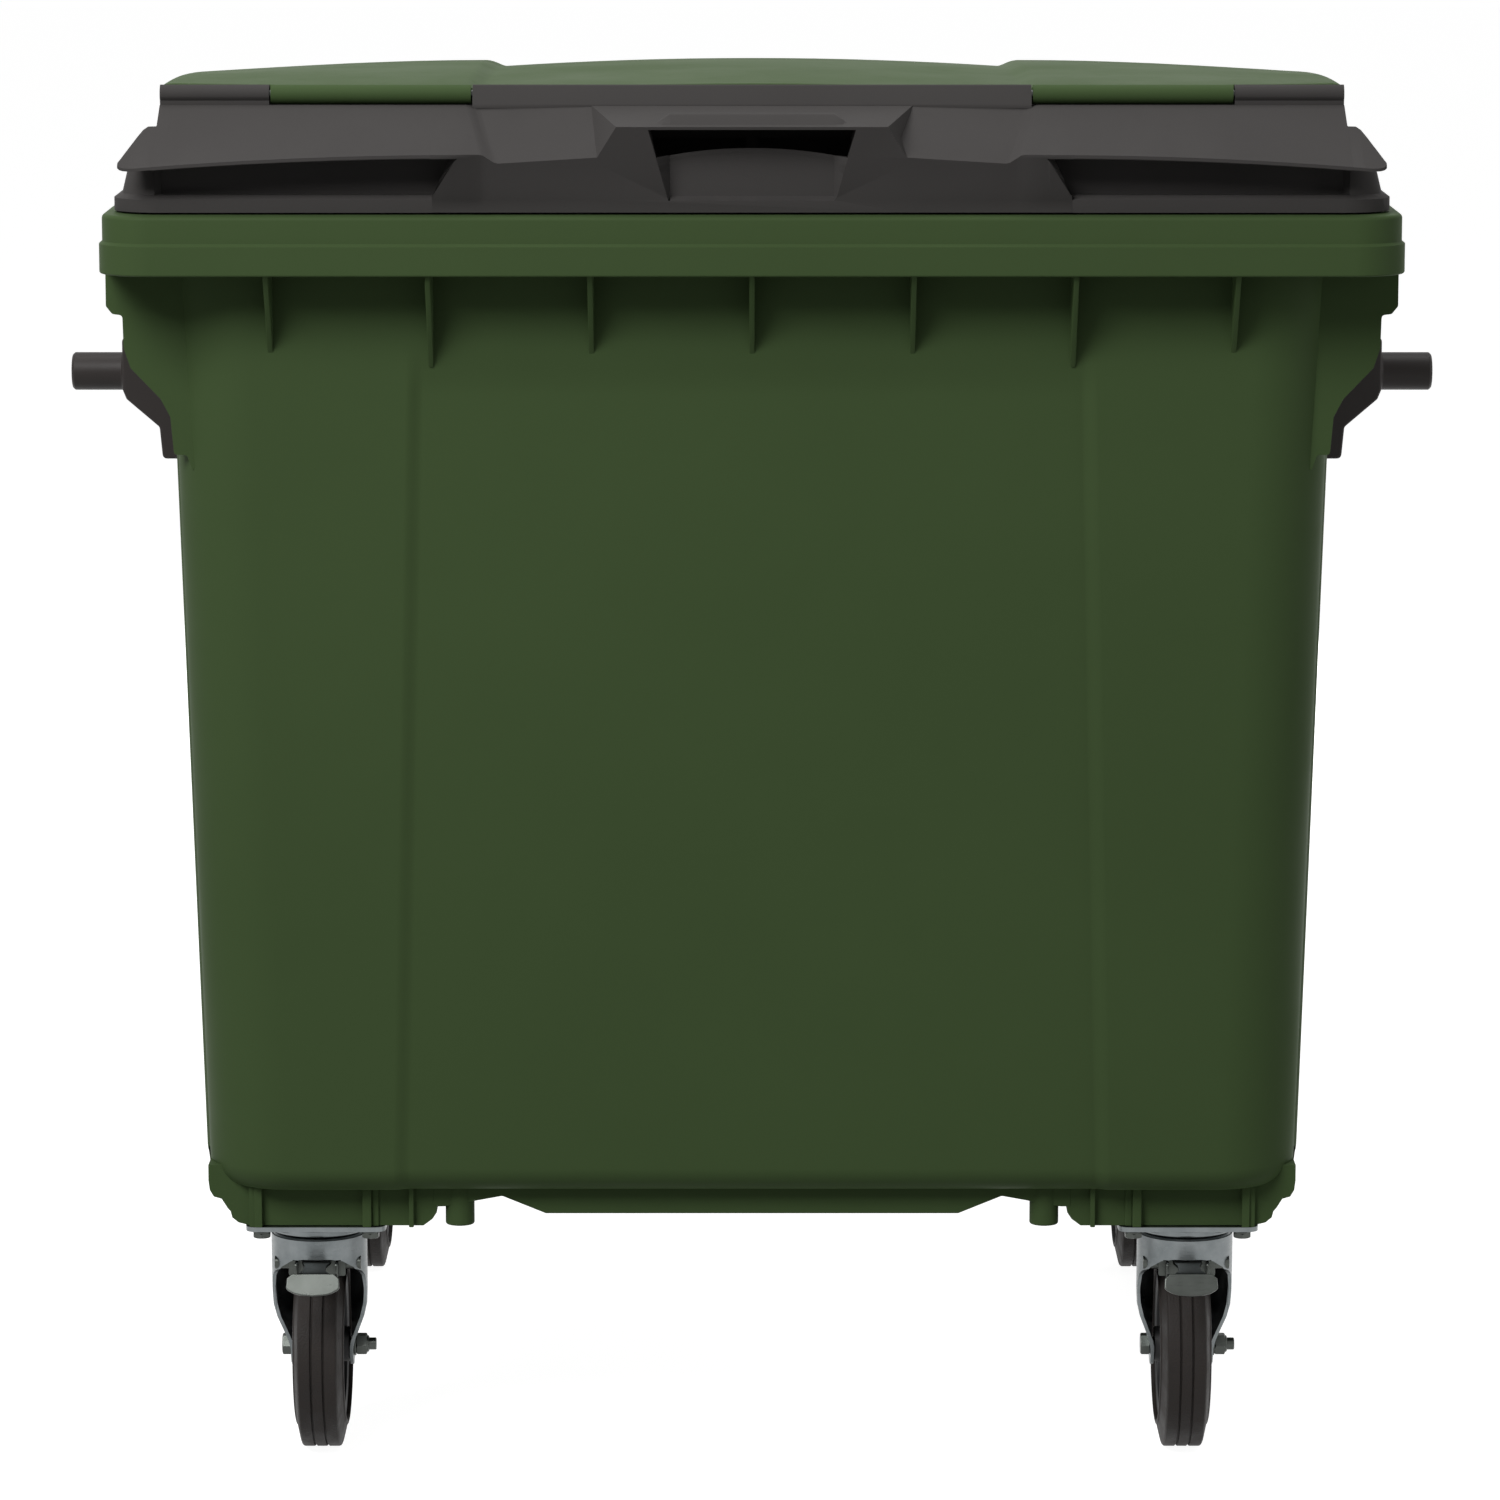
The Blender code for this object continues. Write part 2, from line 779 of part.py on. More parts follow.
def seat_flare(x_side, y_side):
    """The seat's outer cheek, which runs up into the rounding of the side wall."""
    outer = caster_x + seat_half_x - seat_shift_x
    rise = floor_z - caster_height
    outline = [(outer - seat_round, caster_height + rise * flare_outline_shares[0][1])]
    for out_share, up_share_here in flare_outline_shares:
        outline.append((outer + flare_reach * out_share, caster_height + rise * up_share_here))
    middle_radius = foot_radius - wall / 2
    for k in range(foot_steps + 1):
        angle = k * math.pi / 2 / foot_steps
        z = floor_z + foot_radius - middle_radius * math.sin(angle)
        x = wall_x(z) + bulge - foot_radius + middle_radius * math.cos(angle)
        outline.append((x, z))
    outline.append((outer - seat_round, floor_z + wall / 2))
    back = seat_back - overrun
    depth = back - flare_front
    middle = y_side * (caster_y - (back + flare_front) / 2)
    return plate(outline, depth, Matrix.Translation((0, middle, 0)) @ across_y(x_side))


def web(y_side):
    """The upright under the floor that joins the seats and closes the drain pan's end."""
    low = floor_z - pan_depth
    top = floor_z + wall / 2
    half = [(pan_half_x * across, low + (floor_z - low) * up) for across, up in web_shares]
    outline = half + [(half[-1][0], top)]
    outline += [(-across, up) for across, up in reversed(outline)]
    return plate(outline, web_thick, Matrix.Translation((0, y_side * web_y, 0)) @ across_y(1))


def under_floor():
    pieces = [web(-1), web(1)]
    for x_side in (-1, 1):
        for y_side in (-1, 1):
            pieces.append(caster_seat(x_side, y_side))
            pieces.append(seat_flare(x_side, y_side))
            spot = (x_side * peg_x, y_side * peg_y)
            pieces.append(rod(peg_radius, (*spot, caster_height), (*spot, floor_z + wall / 2),
                              round_sides))
    return pieces


def hinge_lugs():
    """Four upright ears on the rear rim, in (outward Y, Z)."""
    pieces = []
    foot = rim_top - wall / 2
    outline = [(lid_axis_y - lug_radius, foot), (lid_axis_y + lug_radius, foot)]
    for k in range(small_sides // 2 + 1):
        angle = k * math.pi / (small_sides // 2)
        outline.append((lid_axis_y + lug_radius * math.cos(angle),
                        lid_axis_z + lug_radius * math.sin(angle)))
    offset = lid_knuckle_half + running_gap + lug_thick / 2
    for x_side in (-1, 1):
        for inward in (-1, 1):
            x = x_side * lid_hinge_x + inward * offset
            pieces.append(plate(outline, lug_thick, Matrix.Translation((x, 0, 0)) @ across_x(1)))
    return pieces


def hinge_bores(gap):
    reach = lid_knuckle_half + lug_thick + overrun
    radius = lid_pin_radius + gap
    return [
        rod(radius, (x_side * lid_hinge_x - reach, lid_axis_y, lid_axis_z),
            (x_side * lid_hinge_x + reach, lid_axis_y, lid_axis_z), small_sides)
        for x_side in (-1, 1)
    ]


def bolt_spots():
    """The sixteen caster bolts: caster sides, then bolt sides."""
    for y_side in (-1, 1):
        for x_side in (-1, 1):
            for k, (along_x, along_y) in enumerate(((-1, -1), (1, -1), (-1, 1), (1, 1))):
                yield (x_side, y_side, k,
                       x_side * caster_x + along_x * bolt_x, y_side * caster_y + along_y * bolt_y)


def bolt_bores():
    deep = caster_height + bolt_grip - plate_thick + overrun
    return [
        rod(bolt_radius + seat_gap, (x, y, caster_height - overrun), (x, y, deep), small_sides)
        for _, _, _, x, y in bolt_spots()
    ]


def make_tub():
    body = loft(tub_rings())
    fuse(body, *rim_ribs())
    fuse(body, *under_floor())
    fuse(body, *hinge_lugs())
    pan_foot = floor_z - pan_depth
    drain = rod(drain_radius + running_gap, (0, -drain_y, pan_foot - overrun),
                (0, -drain_y, floor_z + overrun), round_sides)
    cut(body, drain, *hinge_bores(seat_gap))
    cut(body, *bolt_bores())
    return publish(body, "tub", green)


# Drain plug and its seal


def make_drain():
    seal_top = floor_z - pan_depth - seat_gap
    seal_foot = seal_top - drain_seal_thick
    outer = drain_radius + drain_flange
    inner = drain_radius + running_gap
    seal = turned([(inner, seal_top), (outer, seal_top), (outer, seal_foot), (inner, seal_foot)],
                  round_sides)
    seal.matrix_world = Matrix.Translation((0, -drain_y, 0))
    publish(settle(seal), "drain_seal", rubber, (0, -drain_y, seal_foot))
    flange_top = seal_foot - seat_gap
    flange_foot = flange_top - drain_flange_thick
    neck_top = floor_z - pan_depth + wall + drain_neck / 2
    plug = turned([
        (0.0, neck_top), (drain_radius, neck_top), (drain_radius, flange_top), (outer, flange_top),
        (outer, flange_foot), (drain_radius - drain_grip, flange_foot),
        (drain_radius - drain_grip, flange_top), (0.0, flange_top),
    ], round_sides)
    plug.matrix_world = Matrix.Translation((0, -drain_y, 0))
    settle(plug)
    handle = box((-drain_radius, -drain_y - drain_grip / 2, flange_foot),
                 (drain_radius, -drain_y + drain_grip / 2, flange_top + overrun))
    fuse(plug, handle)
    publish(plug, "drain_plug", black, (0, -drain_y, flange_foot))


# Trunnions


def make_trunnion(x_side, name):
    """A pin with the bracket that carries it against the side wall, in (outward X, Z)."""
    low, high = trunnion_z - bracket_drop, trunnion_z + bracket_rise
    seat_low, seat_high = (wall_x(z) + bulge + seat_gap for z in (low, high))
    end = wall_x(trunnion_z) + bulge + trunnion_reach
    face = end - trunnion_length
    reach = face - seat_low
    outline = [(seat_low, low), (seat_high, high)]
    for out_share, height_share in bracket_outline_shares:
        span = bracket_rise if height_share > 0 else bracket_drop
        outline.append((seat_low + reach * out_share, trunnion_z + span * height_share))
    body = plate(outline, bracket_half_y * 2, across_y(x_side))
    pin = turned([
        (0.0, end), (trunnion_radius - trunnion_edge, end), (trunnion_radius, end - trunnion_edge),
        (trunnion_radius, face - overrun), (0.0, face - overrun),
    ], wheel_sides)
    pin.matrix_world = (Matrix.Translation((0, 0, trunnion_z))
                        @ Matrix.Rotation(x_side * math.pi / 2, 4, 'Y'))
    fuse(body, settle(pin))
    publish(body, name, trunnion_black, (x_side * end, 0, trunnion_z))


# Main lid


def lid_ring(z, inset_x, front, rear, radius):
    return ring(z, skirt_half_x - inset_x, front, rear, radius, 0.0, dent_head_half)


def land_at(y):
    """Height of the land that the inner lid rests on, which falls towards the rear."""
    return land_z - land_fall * (y + opening_front) / (opening_front + opening_rear)


def lip_ring(drop, grow):
    """A ring round the opening that the inner lid covers, a drop below the land."""
    flat = lid_ring(0.0, skirt_half_x - opening_half_x - grow, opening_front + grow,
                    opening_rear + grow, opening_corner + grow / 4)
    return [Vector((spot.x, spot.y, land_at(spot.y) - drop)) for spot in flat]


def side_ring(z, inset):
    """A ring round the outside of the lid frame."""
    half_y = skirt_half_y - inset
    return lid_ring(z, inset, half_y, half_y, skirt_corner - inset)


def frame_rings():
    """Round the lid frame's section: from the opening over the top, down the skirt and back."""
    wall_top = shoulder_z + frame_wall_up
    wall_inset = shoulder_in + frame_wall_in
    return [
        lip_ring(opening_lip, 0.0),
        lip_ring(0.0, 0.0),
        lip_ring(0.0, land_width),
        side_ring(wall_top, wall_inset),
        side_ring(shoulder_z, shoulder_in),
        side_ring(skirt_head, 0.0),
        side_ring(skirt_foot, 0.0),
        side_ring(skirt_foot, lid_wall),
        side_ring(skirt_head - lid_wall / 2, lid_wall),
        side_ring(shoulder_z - lid_wall / 2, shoulder_in + lid_wall),
        side_ring(wall_top - lid_wall / 2, wall_inset + lid_wall),
        lip_ring(lid_wall, land_width - lid_wall / 2),
        lip_ring(lid_wall, lid_wall),
        lip_ring(opening_lip, lid_wall),
    ]


def wing_z(x):
    """Height of the wings' front edge, which falls towards the ends."""
    past = max(0.0, abs(x) - wing_droop_start) / (wing_half_x - wing_droop_start)
    return wing_edge_z - wing_droop * past ** 2


def slope_z(x, y):
    """Height of the sloping top of the front beam at a depth y in front of the middle."""
    share = (y - slope_back) / slope_depth
    return beam_top - share * (beam_top - wing_z(x))


def beam_section(x):
    return [
        Vector((x, -skirt_half_y, shoulder_z)), Vector((x, -wing_front_y, wing_z(x) - wing_lip)),
        Vector((x, -wing_front_y, wing_z(x))), Vector((x, -slope_back, beam_top)),
        Vector((x, -beam_back, beam_top)), Vector((x, -beam_back, shoulder_z)),
    ]


def wing_tip(x_side):
    """The thin end of a wing that overhangs the lid's side."""
    sections = []
    span = wing_half_x - slope_half_x
    for out_share, back_share, front_share in wing_tip_shares:
        x = slope_half_x + span * out_share
        front = wing_front_y - wing_tip_step - wing_tip_back * front_share
        back = wing_front_y - wing_tip_back * back_share
        sections.append([
            Vector((x_side * x, -front, slope_z(x, front) - wing_lip)),
            Vector((x_side * x, -front, slope_z(x, front) - wing_tip_step)),
            Vector((x_side * x, -back, slope_z(x, back) - wing_tip_step)),
            Vector((x_side * x, -back, slope_z(x, back) - wing_skin)),
        ])
    return loft(sections)


def make_beam():
    """The front beam between the ends of the slope, with its raised middle."""
    stations = [slope_half_x, wing_droop_start + (slope_half_x - wing_droop_start) / 2,
                wing_droop_start]
    xs = [-x for x in stations] + list(reversed(stations))
    beam = loft([beam_section(x) for x in xs])
    front = wing_front_y - boss_front_in
    low = wing_edge_z - wing_skin * 2
    boss = loft([
        [Vector((-boss_half_foot, -wing_front_y + overrun / 3, low)),
         Vector((-boss_half_top, -front, boss_front_z)), Vector((boss_half_top, -front, boss_front_z)),
         Vector((boss_half_foot, -wing_front_y + overrun / 3, low))],
        [Vector((-boss_half_foot, -boss_back_y, low)),
         Vector((-boss_half_top, -boss_back_y, boss_back_z)),
         Vector((boss_half_top, -boss_back_y, boss_back_z)),
         Vector((boss_half_foot, -boss_back_y, low))],
    ])
    return fuse(beam, boss, wing_tip(-1), wing_tip(1))


def side_pocket(x_side):
    """The hand space under one wing."""
    floor = shoulder_z + pocket_floor_up
    front = wing_front_y + overrun * 2

    def section(front_foot, front_top, back_foot, back_top):
        return [
            Vector((x_side * front_foot, -front, floor)),
            Vector((x_side * front_top, -front, slope_z(front_top, front) - wing_skin)),
            Vector((x_side * back_top, -side_pocket_back, slope_z(back_top, side_pocket_back) - wing_skin)),
            Vector((x_side * back_foot, -side_pocket_back, floor)),
        ]

    foot, top = side_pocket_in_foot, side_pocket_in_top
    back, front_end = side_pocket_out_back, side_pocket_out_front
    middle = (foot + back) / 2
    return loft([
        section(foot, top, foot, top), section(middle, middle, middle, middle),
        section(back, back, back, back), section(front_end, front_end, back + overrun, back + overrun),
    ])


def grip_pocket():
    """The middle hand space, with a scooped floor that rises to an arched lip."""
    front = wing_front_y + overrun * 2

    def section(x_share, arch_share):
        def spot(y, z):
            up = (z - grip_foot_z) / (grip_top_z - grip_foot_z)
            half = grip_half_foot + (grip_half_top - grip_half_foot) * up
            return Vector((half * x_share, -y, z))
        lip_z = grip_lip_z + grip_lip_arch * arch_share
        foot_y = skirt_half_y - overrun
        spots = [spot(front, grip_foot_z)]
        for in_share, up_share_here in grip_scoop_shares:
            y = foot_y + (grip_lip_y - foot_y) * in_share
            spots.append(spot(y, grip_foot_z + overrun + (lip_z - grip_foot_z - overrun) * up_share_here))
        behind = grip_lip_y - overrun
        spots += [spot(behind, lip_z - wing_skin), spot(grip_back, lip_z - wing_skin),
                  spot(grip_back, grip_top_z - wing_skin), spot(grip_back + overrun, grip_top_z),
                  spot(front, grip_top_z)]
        return spots

    return loft([section(across, arch) for across, arch in grip_arch_shares])


def trench(x_side):
    """The hollow behind the hand spaces, open below."""
    top = beam_top - trench_wall
    front_top = slope_z(0.0, side_pocket_back) - wing_skin - trench_wall / 2
    front = side_pocket_back - trench_wall
    back = beam_back + trench_wall
    foot = shoulder_z - lid_wall - overrun
    xs = (trench_wall, slope_half_x - lid_wall - trench_wall)

    def section(x):
        return [Vector((x_side * x, -front, foot)), Vector((x_side * x, -front, front_top)),
                Vector((x_side * x, -back, min(top, front_top))), Vector((x_side * x, -back, foot))]

    return loft([section(x) for x in xs])


def saddle(x_from, x_to):
    """A length of hinge barrel on its own upright, in (forward Y, Z)."""
    low = beam_top - overrun
    outline = [(hinge_y - hinge_radius, low), (hinge_y + hinge_radius, low)]
    for k in range(small_sides + 1):
        angle = k * math.pi / small_sides
        outline.append((hinge_y + hinge_radius * math.cos(angle), hinge_z + hinge_radius * math.sin(angle)))
    place = Matrix.Translation(((x_from + x_to) / 2, 0, 0)) @ across_x(-1)
    return plate(outline, abs(x_to - x_from), place)


def cover_bar():
    """The bar over the middle of the hinge, with a window near each end."""
    low = beam_top - overrun
    front = hinge_y + bar_front
    top = hinge_z + hinge_radius
    outline = [
        (front, low), (front, top - bar_edge), (front - bar_edge * 2, top), (hinge_y, top),
        (hinge_y - hinge_radius, hinge_z), (hinge_y - hinge_radius, low),
    ]
    bar = plate(outline, cheek_out * 2, across_x(-1))
    for x_side in (-1, 1):
        near, far = sorted((x_side * bar_half_x, x_side * (cheek_out - cheek_thick)))
        cut(bar, box((near, -front - overrun, beam_top + hinge_clear),
                     (far, -front + bar_front / 2, hinge_z)))
    return bar


def inner_pin_bores(gap):
    start = bar_half_x - pin_tail - overrun
    end = end_knuckle_in + pin_tail + overrun
    return [
        rod(hinge_pin_radius + gap, (x_side * start, -hinge_y, hinge_z),
            (x_side * end, -hinge_y, hinge_z), small_sides)
        for x_side in (-1, 1)
    ]


def lug_notches():
    """Clearance in the lid's rear edge round each pair of lugs."""
    near = lid_axis_y - lug_radius - overrun
    far = skirt_half_y + overrun
    high = lid_axis_z + lug_radius + overrun
    half = lid_knuckle_half + lug_thick + overrun
    return [
        box((x_side * lid_hinge_x - half, near, skirt_foot - overrun),
            (x_side * lid_hinge_x + half, far, high))
        for x_side in (-1, 1)
    ]


def lid_knuckles():
    pieces = []
    web_half = lid_pin_radius + lid_wall / 2
    near = skirt_half_y - shoulder_in - frame_wall_in - lid_wall * 3
    for x_side in (-1, 1):
        low_x = x_side * lid_hinge_x - lid_knuckle_half
        high_x = x_side * lid_hinge_x + lid_knuckle_half
        pieces.append(rod(lid_knuckle_radius, (low_x, lid_axis_y, lid_axis_z),
                          (high_x, lid_axis_y, lid_axis_z), round_sides))
        pieces.append(box((low_x + lid_wall, near, lid_axis_z - web_half),
                          (high_x - lid_wall, lid_axis_y, lid_axis_z + web_half)))
    return pieces


def make_main_lid():
    lid = loft(frame_rings(), hoop=True)
    fuse(lid, make_beam())
    cut(lid, side_pocket(-1), side_pocket(1), grip_pocket(), trench(-1), trench(1))
    ends = (slope_half_x, end_knuckle_in)
    fuse(lid, cover_bar(), saddle(*ends), saddle(-ends[1], -ends[0]))
    cut(lid, *inner_pin_bores(seat_gap), *lug_notches())
    fuse(lid, *lid_knuckles())
    cut(lid, *hinge_bores(running_gap))
    return publish(lid, "main_lid", black, (0, lid_axis_y, lid_axis_z))


def make_lid_pin(x_side, name):
    """A headed pin through a pair of lugs and the knuckle between them."""
    reach = lid_knuckle_half + running_gap + lug_thick
    profile = [
        (0.0, reach + seat_gap + lid_pin_head_thick), (lid_pin_head, reach + seat_gap + lid_pin_head_thick),
        (lid_pin_head, reach + seat_gap), (lid_pin_radius, reach + seat_gap),
        (lid_pin_radius, -reach - lid_pin_head_thick), (0.0, -reach - lid_pin_head_thick),
    ]
    pin = turned(profile, small_sides)
    spot = (x_side * lid_hinge_x, lid_axis_y, lid_axis_z)
    pin.matrix_world = Matrix.Translation(spot) @ Matrix.Rotation(-x_side * math.pi / 2, 4, 'Y')
    publish(settle(pin), name, zinc, spot)


def make_inner_pin(x_side, name):
    """A plain rod from the cover bar through the green knuckle into the end knuckle."""
    start = bar_half_x - pin_tail
    end = end_knuckle_in + pin_tail
    pin = rod(hinge_pin_radius, (x_side * start, -hinge_y, hinge_z), (x_side * end, -hinge_y, hinge_z),
              small_sides)
    publish(pin, name, zinc, (x_side * (start + end) / 2, -hinge_y, hinge_z))


# Inner lid


def inner_top(x, y):
    """Height of the inner lid's top: two crowned side fields and a lower domed middle."""
    z = crown_z - crown_fall * ((y - crown_y) / (inner_rear - crown_y)) ** 2
    across = abs(x)
    if across > side_start_x:
        along = min(1.0, (y - inner_front) / (inner_depth * side_fall_run_share))
        grown = side_fall_front_share + (1 - side_fall_front_share) * along
        share = (across - side_start_x) / (inner_half_x - side_start_x)
        return z - side_fall * grown * share ** 2
    if across > panel_half_x:
        return z - panel_step * (side_start_x - across) / (side_start_x - panel_half_x)
    return z - panel_step + panel_dome * (1 - (across / panel_half_x) ** 2)


def lid_block(inset, drop, lift):
    """A block between the land and the inner lid's crowned top, smaller all round by an inset."""
    front = inner_front + inset
    depth = inner_rear - inset - front
    edge = inner_half_x - inner_corner
    side_field = (edge + side_start_x) / 2
    half_xs = [0.0, panel_half_x / 2, panel_half_x, side_start_x, side_field, edge,
               inner_half_x - inset]
    xs = [-x for x in reversed(half_xs[1:])] + half_xs

    def section(y):
        top = [Vector((x, y, inner_top(x, y) - drop)) for x in xs]
        top[0].z -= inner_corner / 3
        top[-1].z -= inner_corner / 3
        foot = land_at(y) + lift
        return [Vector((xs[0], y, foot))] + top + [Vector((xs[-1], y, foot))]

    return loft([section(front + depth * share) for share in grid_y_shares])


def make_inner_lid():
    """A crowned skin with turned-down edges, carried by two long knuckles at its front."""
    lid = lid_block(0.0, 0.0, seat_gap)
    cut(lid, lid_block(inner_skin, inner_skin, -overrun))
    for x_side in (-1, 1):
        near, far = sorted((x_side * knuckle_in, x_side * knuckle_out))
        barrel = rod(hinge_radius, (near, -hinge_y, hinge_z), (far, -hinge_y, hinge_z), round_sides)
        arm = box((near + inner_skin, -hinge_y, hinge_z - hinge_radius / 3),
                  (far - inner_skin, inner_front + inner_skin / 2, hinge_z + hinge_radius / 8))
        fuse(lid, barrel, arm)
    cut(lid, *inner_pin_bores(running_gap))
    return publish(lid, "inner_lid", green, (0, -hinge_y, hinge_z))


# Casters, modelled once about their swivel axis and placed four times


def plate_mesh():
    body = box((-plate_half_x, -plate_half_y, plate_foot),
               (plate_half_x, plate_half_y, plate_foot + plate_thick))
    fuse(body, rod(race_radius, (0, 0, race_foot), (0, 0, plate_foot + plate_thick / 2), head_sides))
    top = plate_foot + plate_thick
    cap = kingpin_cap_radius + seat_gap
    tools_here = [
        rod(kingpin_radius + seat_gap, (0, 0, race_foot - overrun), (0, 0, top + overrun), round_sides),
        rod(cap, (0, 0, top - kingpin_cap - seat_gap * 2), (0, 0, top + overrun), round_sides),
    ]
    for along_x in (-1, 1):
        for along_y in (-1, 1):
            spot = (along_x * bolt_x, along_y * bolt_y)
            tools_here.append(rod(bolt_radius + seat_gap, (*spot, plate_foot - overrun),
                                  (*spot, top + overrun), small_sides))
    return cut(body, *tools_here).data


def kingpin_mesh():
    top = plate_foot + plate_thick - seat_gap
    shelf = top - kingpin_cap
    flange_top = head_top - head_skin - running_gap
    foot = flange_top - kingpin_flange
    return turned([
        (0.0, top), (kingpin_cap_radius, top), (kingpin_cap_radius, shelf), (kingpin_radius, shelf),
        (kingpin_radius, flange_top), (kingpin_flange_radius, flange_top),
        (kingpin_flange_radius, foot), (0.0, foot),
    ], round_sides).data


def fork_leg(x_side):
    """One pressed cheek, which leans in towards the axle and ends in a round eye."""
    span = head_foot + head_side - wheel_radius
    sections = []
    for up, front, back, out in fork_shares:
        z = wheel_radius + span * up
        half = fork_foot_half + (head_radius - fork_foot_half) * out
        front, back = head_radius * front, head_radius * back
        sections.append([
            Vector((x_side * half, front, z)), Vector((x_side * half, back, z)),
            Vector((x_side * (half - fork_thick), back, z)),
            Vector((x_side * (half - fork_thick), front, z)),
        ])
    return loft(sections)


def fork_mesh():
    """The swivel head, its skirt and the two cheeks."""
    inner = head_radius - head_side
    bore = kingpin_radius + running_gap
    head = turned([
        (bore, head_top), (head_radius, head_top), (head_radius, head_foot), (inner, head_foot),
        (inner, head_top - head_skin), (bore, head_top - head_skin),
    ], head_sides)
    fuse(head, fork_leg(-1), fork_leg(1))
    gap = overrun + axle_tail
    axle = rod(axle_radius + seat_gap, (-fork_foot_half - gap, wheel_trail, wheel_radius),
               (fork_foot_half + gap, wheel_trail, wheel_radius), small_sides)
    pivot = rod(pivot_radius + seat_gap, (-head_radius - overrun, pivot_y, pivot_z),
                (head_radius + overrun, pivot_y, pivot_z), small_sides)
    return cut(head, axle, pivot).data


def on_axle(profile, sides, turn):
    """A turned mesh about the X axis through the axle's middle."""
    piece = turned(profile, sides, turn)
    piece.matrix_world = Matrix.Rotation(math.pi / 2, 4, 'Y')
    return settle(piece).data


def tyre_mesh():
    """A tyre whose facets touch the wheel radius, so that one lies flat on the floor."""
    turn = math.pi / wheel_sides
    stretch = 1 / math.cos(turn)
    tread = wheel_radius * stretch
    shoulder = (wheel_radius - tyre_shoulder) * stretch
    bore = (rim_radius + seat_gap) * stretch
    return on_axle([
        (bore, tyre_half), (shoulder, tyre_half), (tread, tyre_flat_half), (tread, -tyre_flat_half),
        (shoulder, -tyre_half), (bore, -tyre_half),
    ], wheel_sides, turn)


def wheel_mesh():
    turn = math.pi / wheel_sides
    stretch = 1 / math.cos(turn)
    outer = rim_radius * stretch
    inner = outer - rim_thick
    bore = axle_radius + running_gap
    return on_axle([
        (bore, hub_half), (hub_radius, hub_half), (hub_radius, rim_web_half), (inner, rim_web_half),
        (inner, rim_half), (outer, rim_half), (outer, -rim_half), (inner, -rim_half),
        (inner, -rim_web_half), (hub_radius, -rim_web_half), (hub_radius, -hub_half),
        (bore, -hub_half),
    ], wheel_sides, turn)


def hex_radius(flats):
    return flats / 2 / math.cos(math.pi / hex_sides)


def axle_mesh():
    """A hexagon bolt whose head bears on the cheek at -X."""
    face = fork_foot_half + seat_gap
    tail = face + nut_height + axle_tail
    head = rod(hex_radius(axle_flats), (-face - axle_head, 0, 0), (-face, 0, 0), hex_sides)
    shank = rod(axle_radius, (-face - axle_head / 2, 0, 0), (tail, 0, 0), small_sides)
    return fuse(head, shank).data


def nut_mesh():
    face = fork_foot_half + seat_gap
    nut = rod(hex_radius(axle_flats), (face, 0, 0), (face + nut_height, 0, 0), hex_sides)
    bore = rod(axle_radius + seat_gap, (0, 0, 0), (face + nut_height + overrun, 0, 0), small_sides)
    return cut(nut, bore).data


def bolt_mesh():
    """A hexagon bolt about its own axis, with its bearing face at the origin."""
    head = rod(hex_radius(bolt_flats), (0, 0, -bolt_head), (0, 0, 0), hex_sides)
    shank = rod(bolt_radius, (0, 0, -bolt_head / 2), (0, 0, bolt_grip), small_sides)
    return fuse(head, shank).data


def pedal_mesh():
    """A foot pedal, its neck, the sleeve on the pivot and the bar that presses on the tyre."""
    front = -pedal_reach
    top = neck_top_z + pedal_round / 6
    pad = box((-pedal_half_x, front, top - pedal_height), (pedal_half_x, front + pedal_depth, top),
              pedal_round)
    neck = box((-neck_half_x, front + pedal_depth / 2, neck_top_z - neck_thick),
               (neck_half_x, pivot_y, neck_top_z))
    half = head_radius - fork_thick - running_gap * 2
    sleeve = rod(sleeve_radius, (-half, pivot_y, pivot_z), (half, pivot_y, pivot_z), round_sides)
    shoe = rod(shoe_radius, (-shoe_half_x, shoe_y, shoe_z), (shoe_half_x, shoe_y, shoe_z), small_sides)
    arm_half = neck_half_x - neck_thick / 2
    arm = box((-arm_half, shoe_y - shoe_radius / 2, shoe_z),
              (arm_half, shoe_y + shoe_radius / 2, neck_top_z - neck_thick / 2))
    fuse(pad, neck, sleeve, shoe, arm)
    bore = rod(pivot_radius + running_gap, (-half - overrun, pivot_y, pivot_z),
               (half + overrun, pivot_y, pivot_z), small_sides)
    return cut(pad, bore).data


def pivot_mesh():
    """A headed pin across both cheeks."""
    reach = head_radius + seat_gap
    profile = [
        (0.0, reach + pivot_head_thick), (pivot_head, reach + pivot_head_thick), (pivot_head, reach),
        (pivot_radius, reach), (pivot_radius, -reach - pivot_head_thick),
        (0.0, -reach - pivot_head_thick),
    ]
    pin = turned(profile, small_sides)
    pin.matrix_world = (Matrix.Translation((0, pivot_y, pivot_z)) @ Matrix.Rotation(math.pi / 2, 4, 'Y'))
    return settle(pin).data


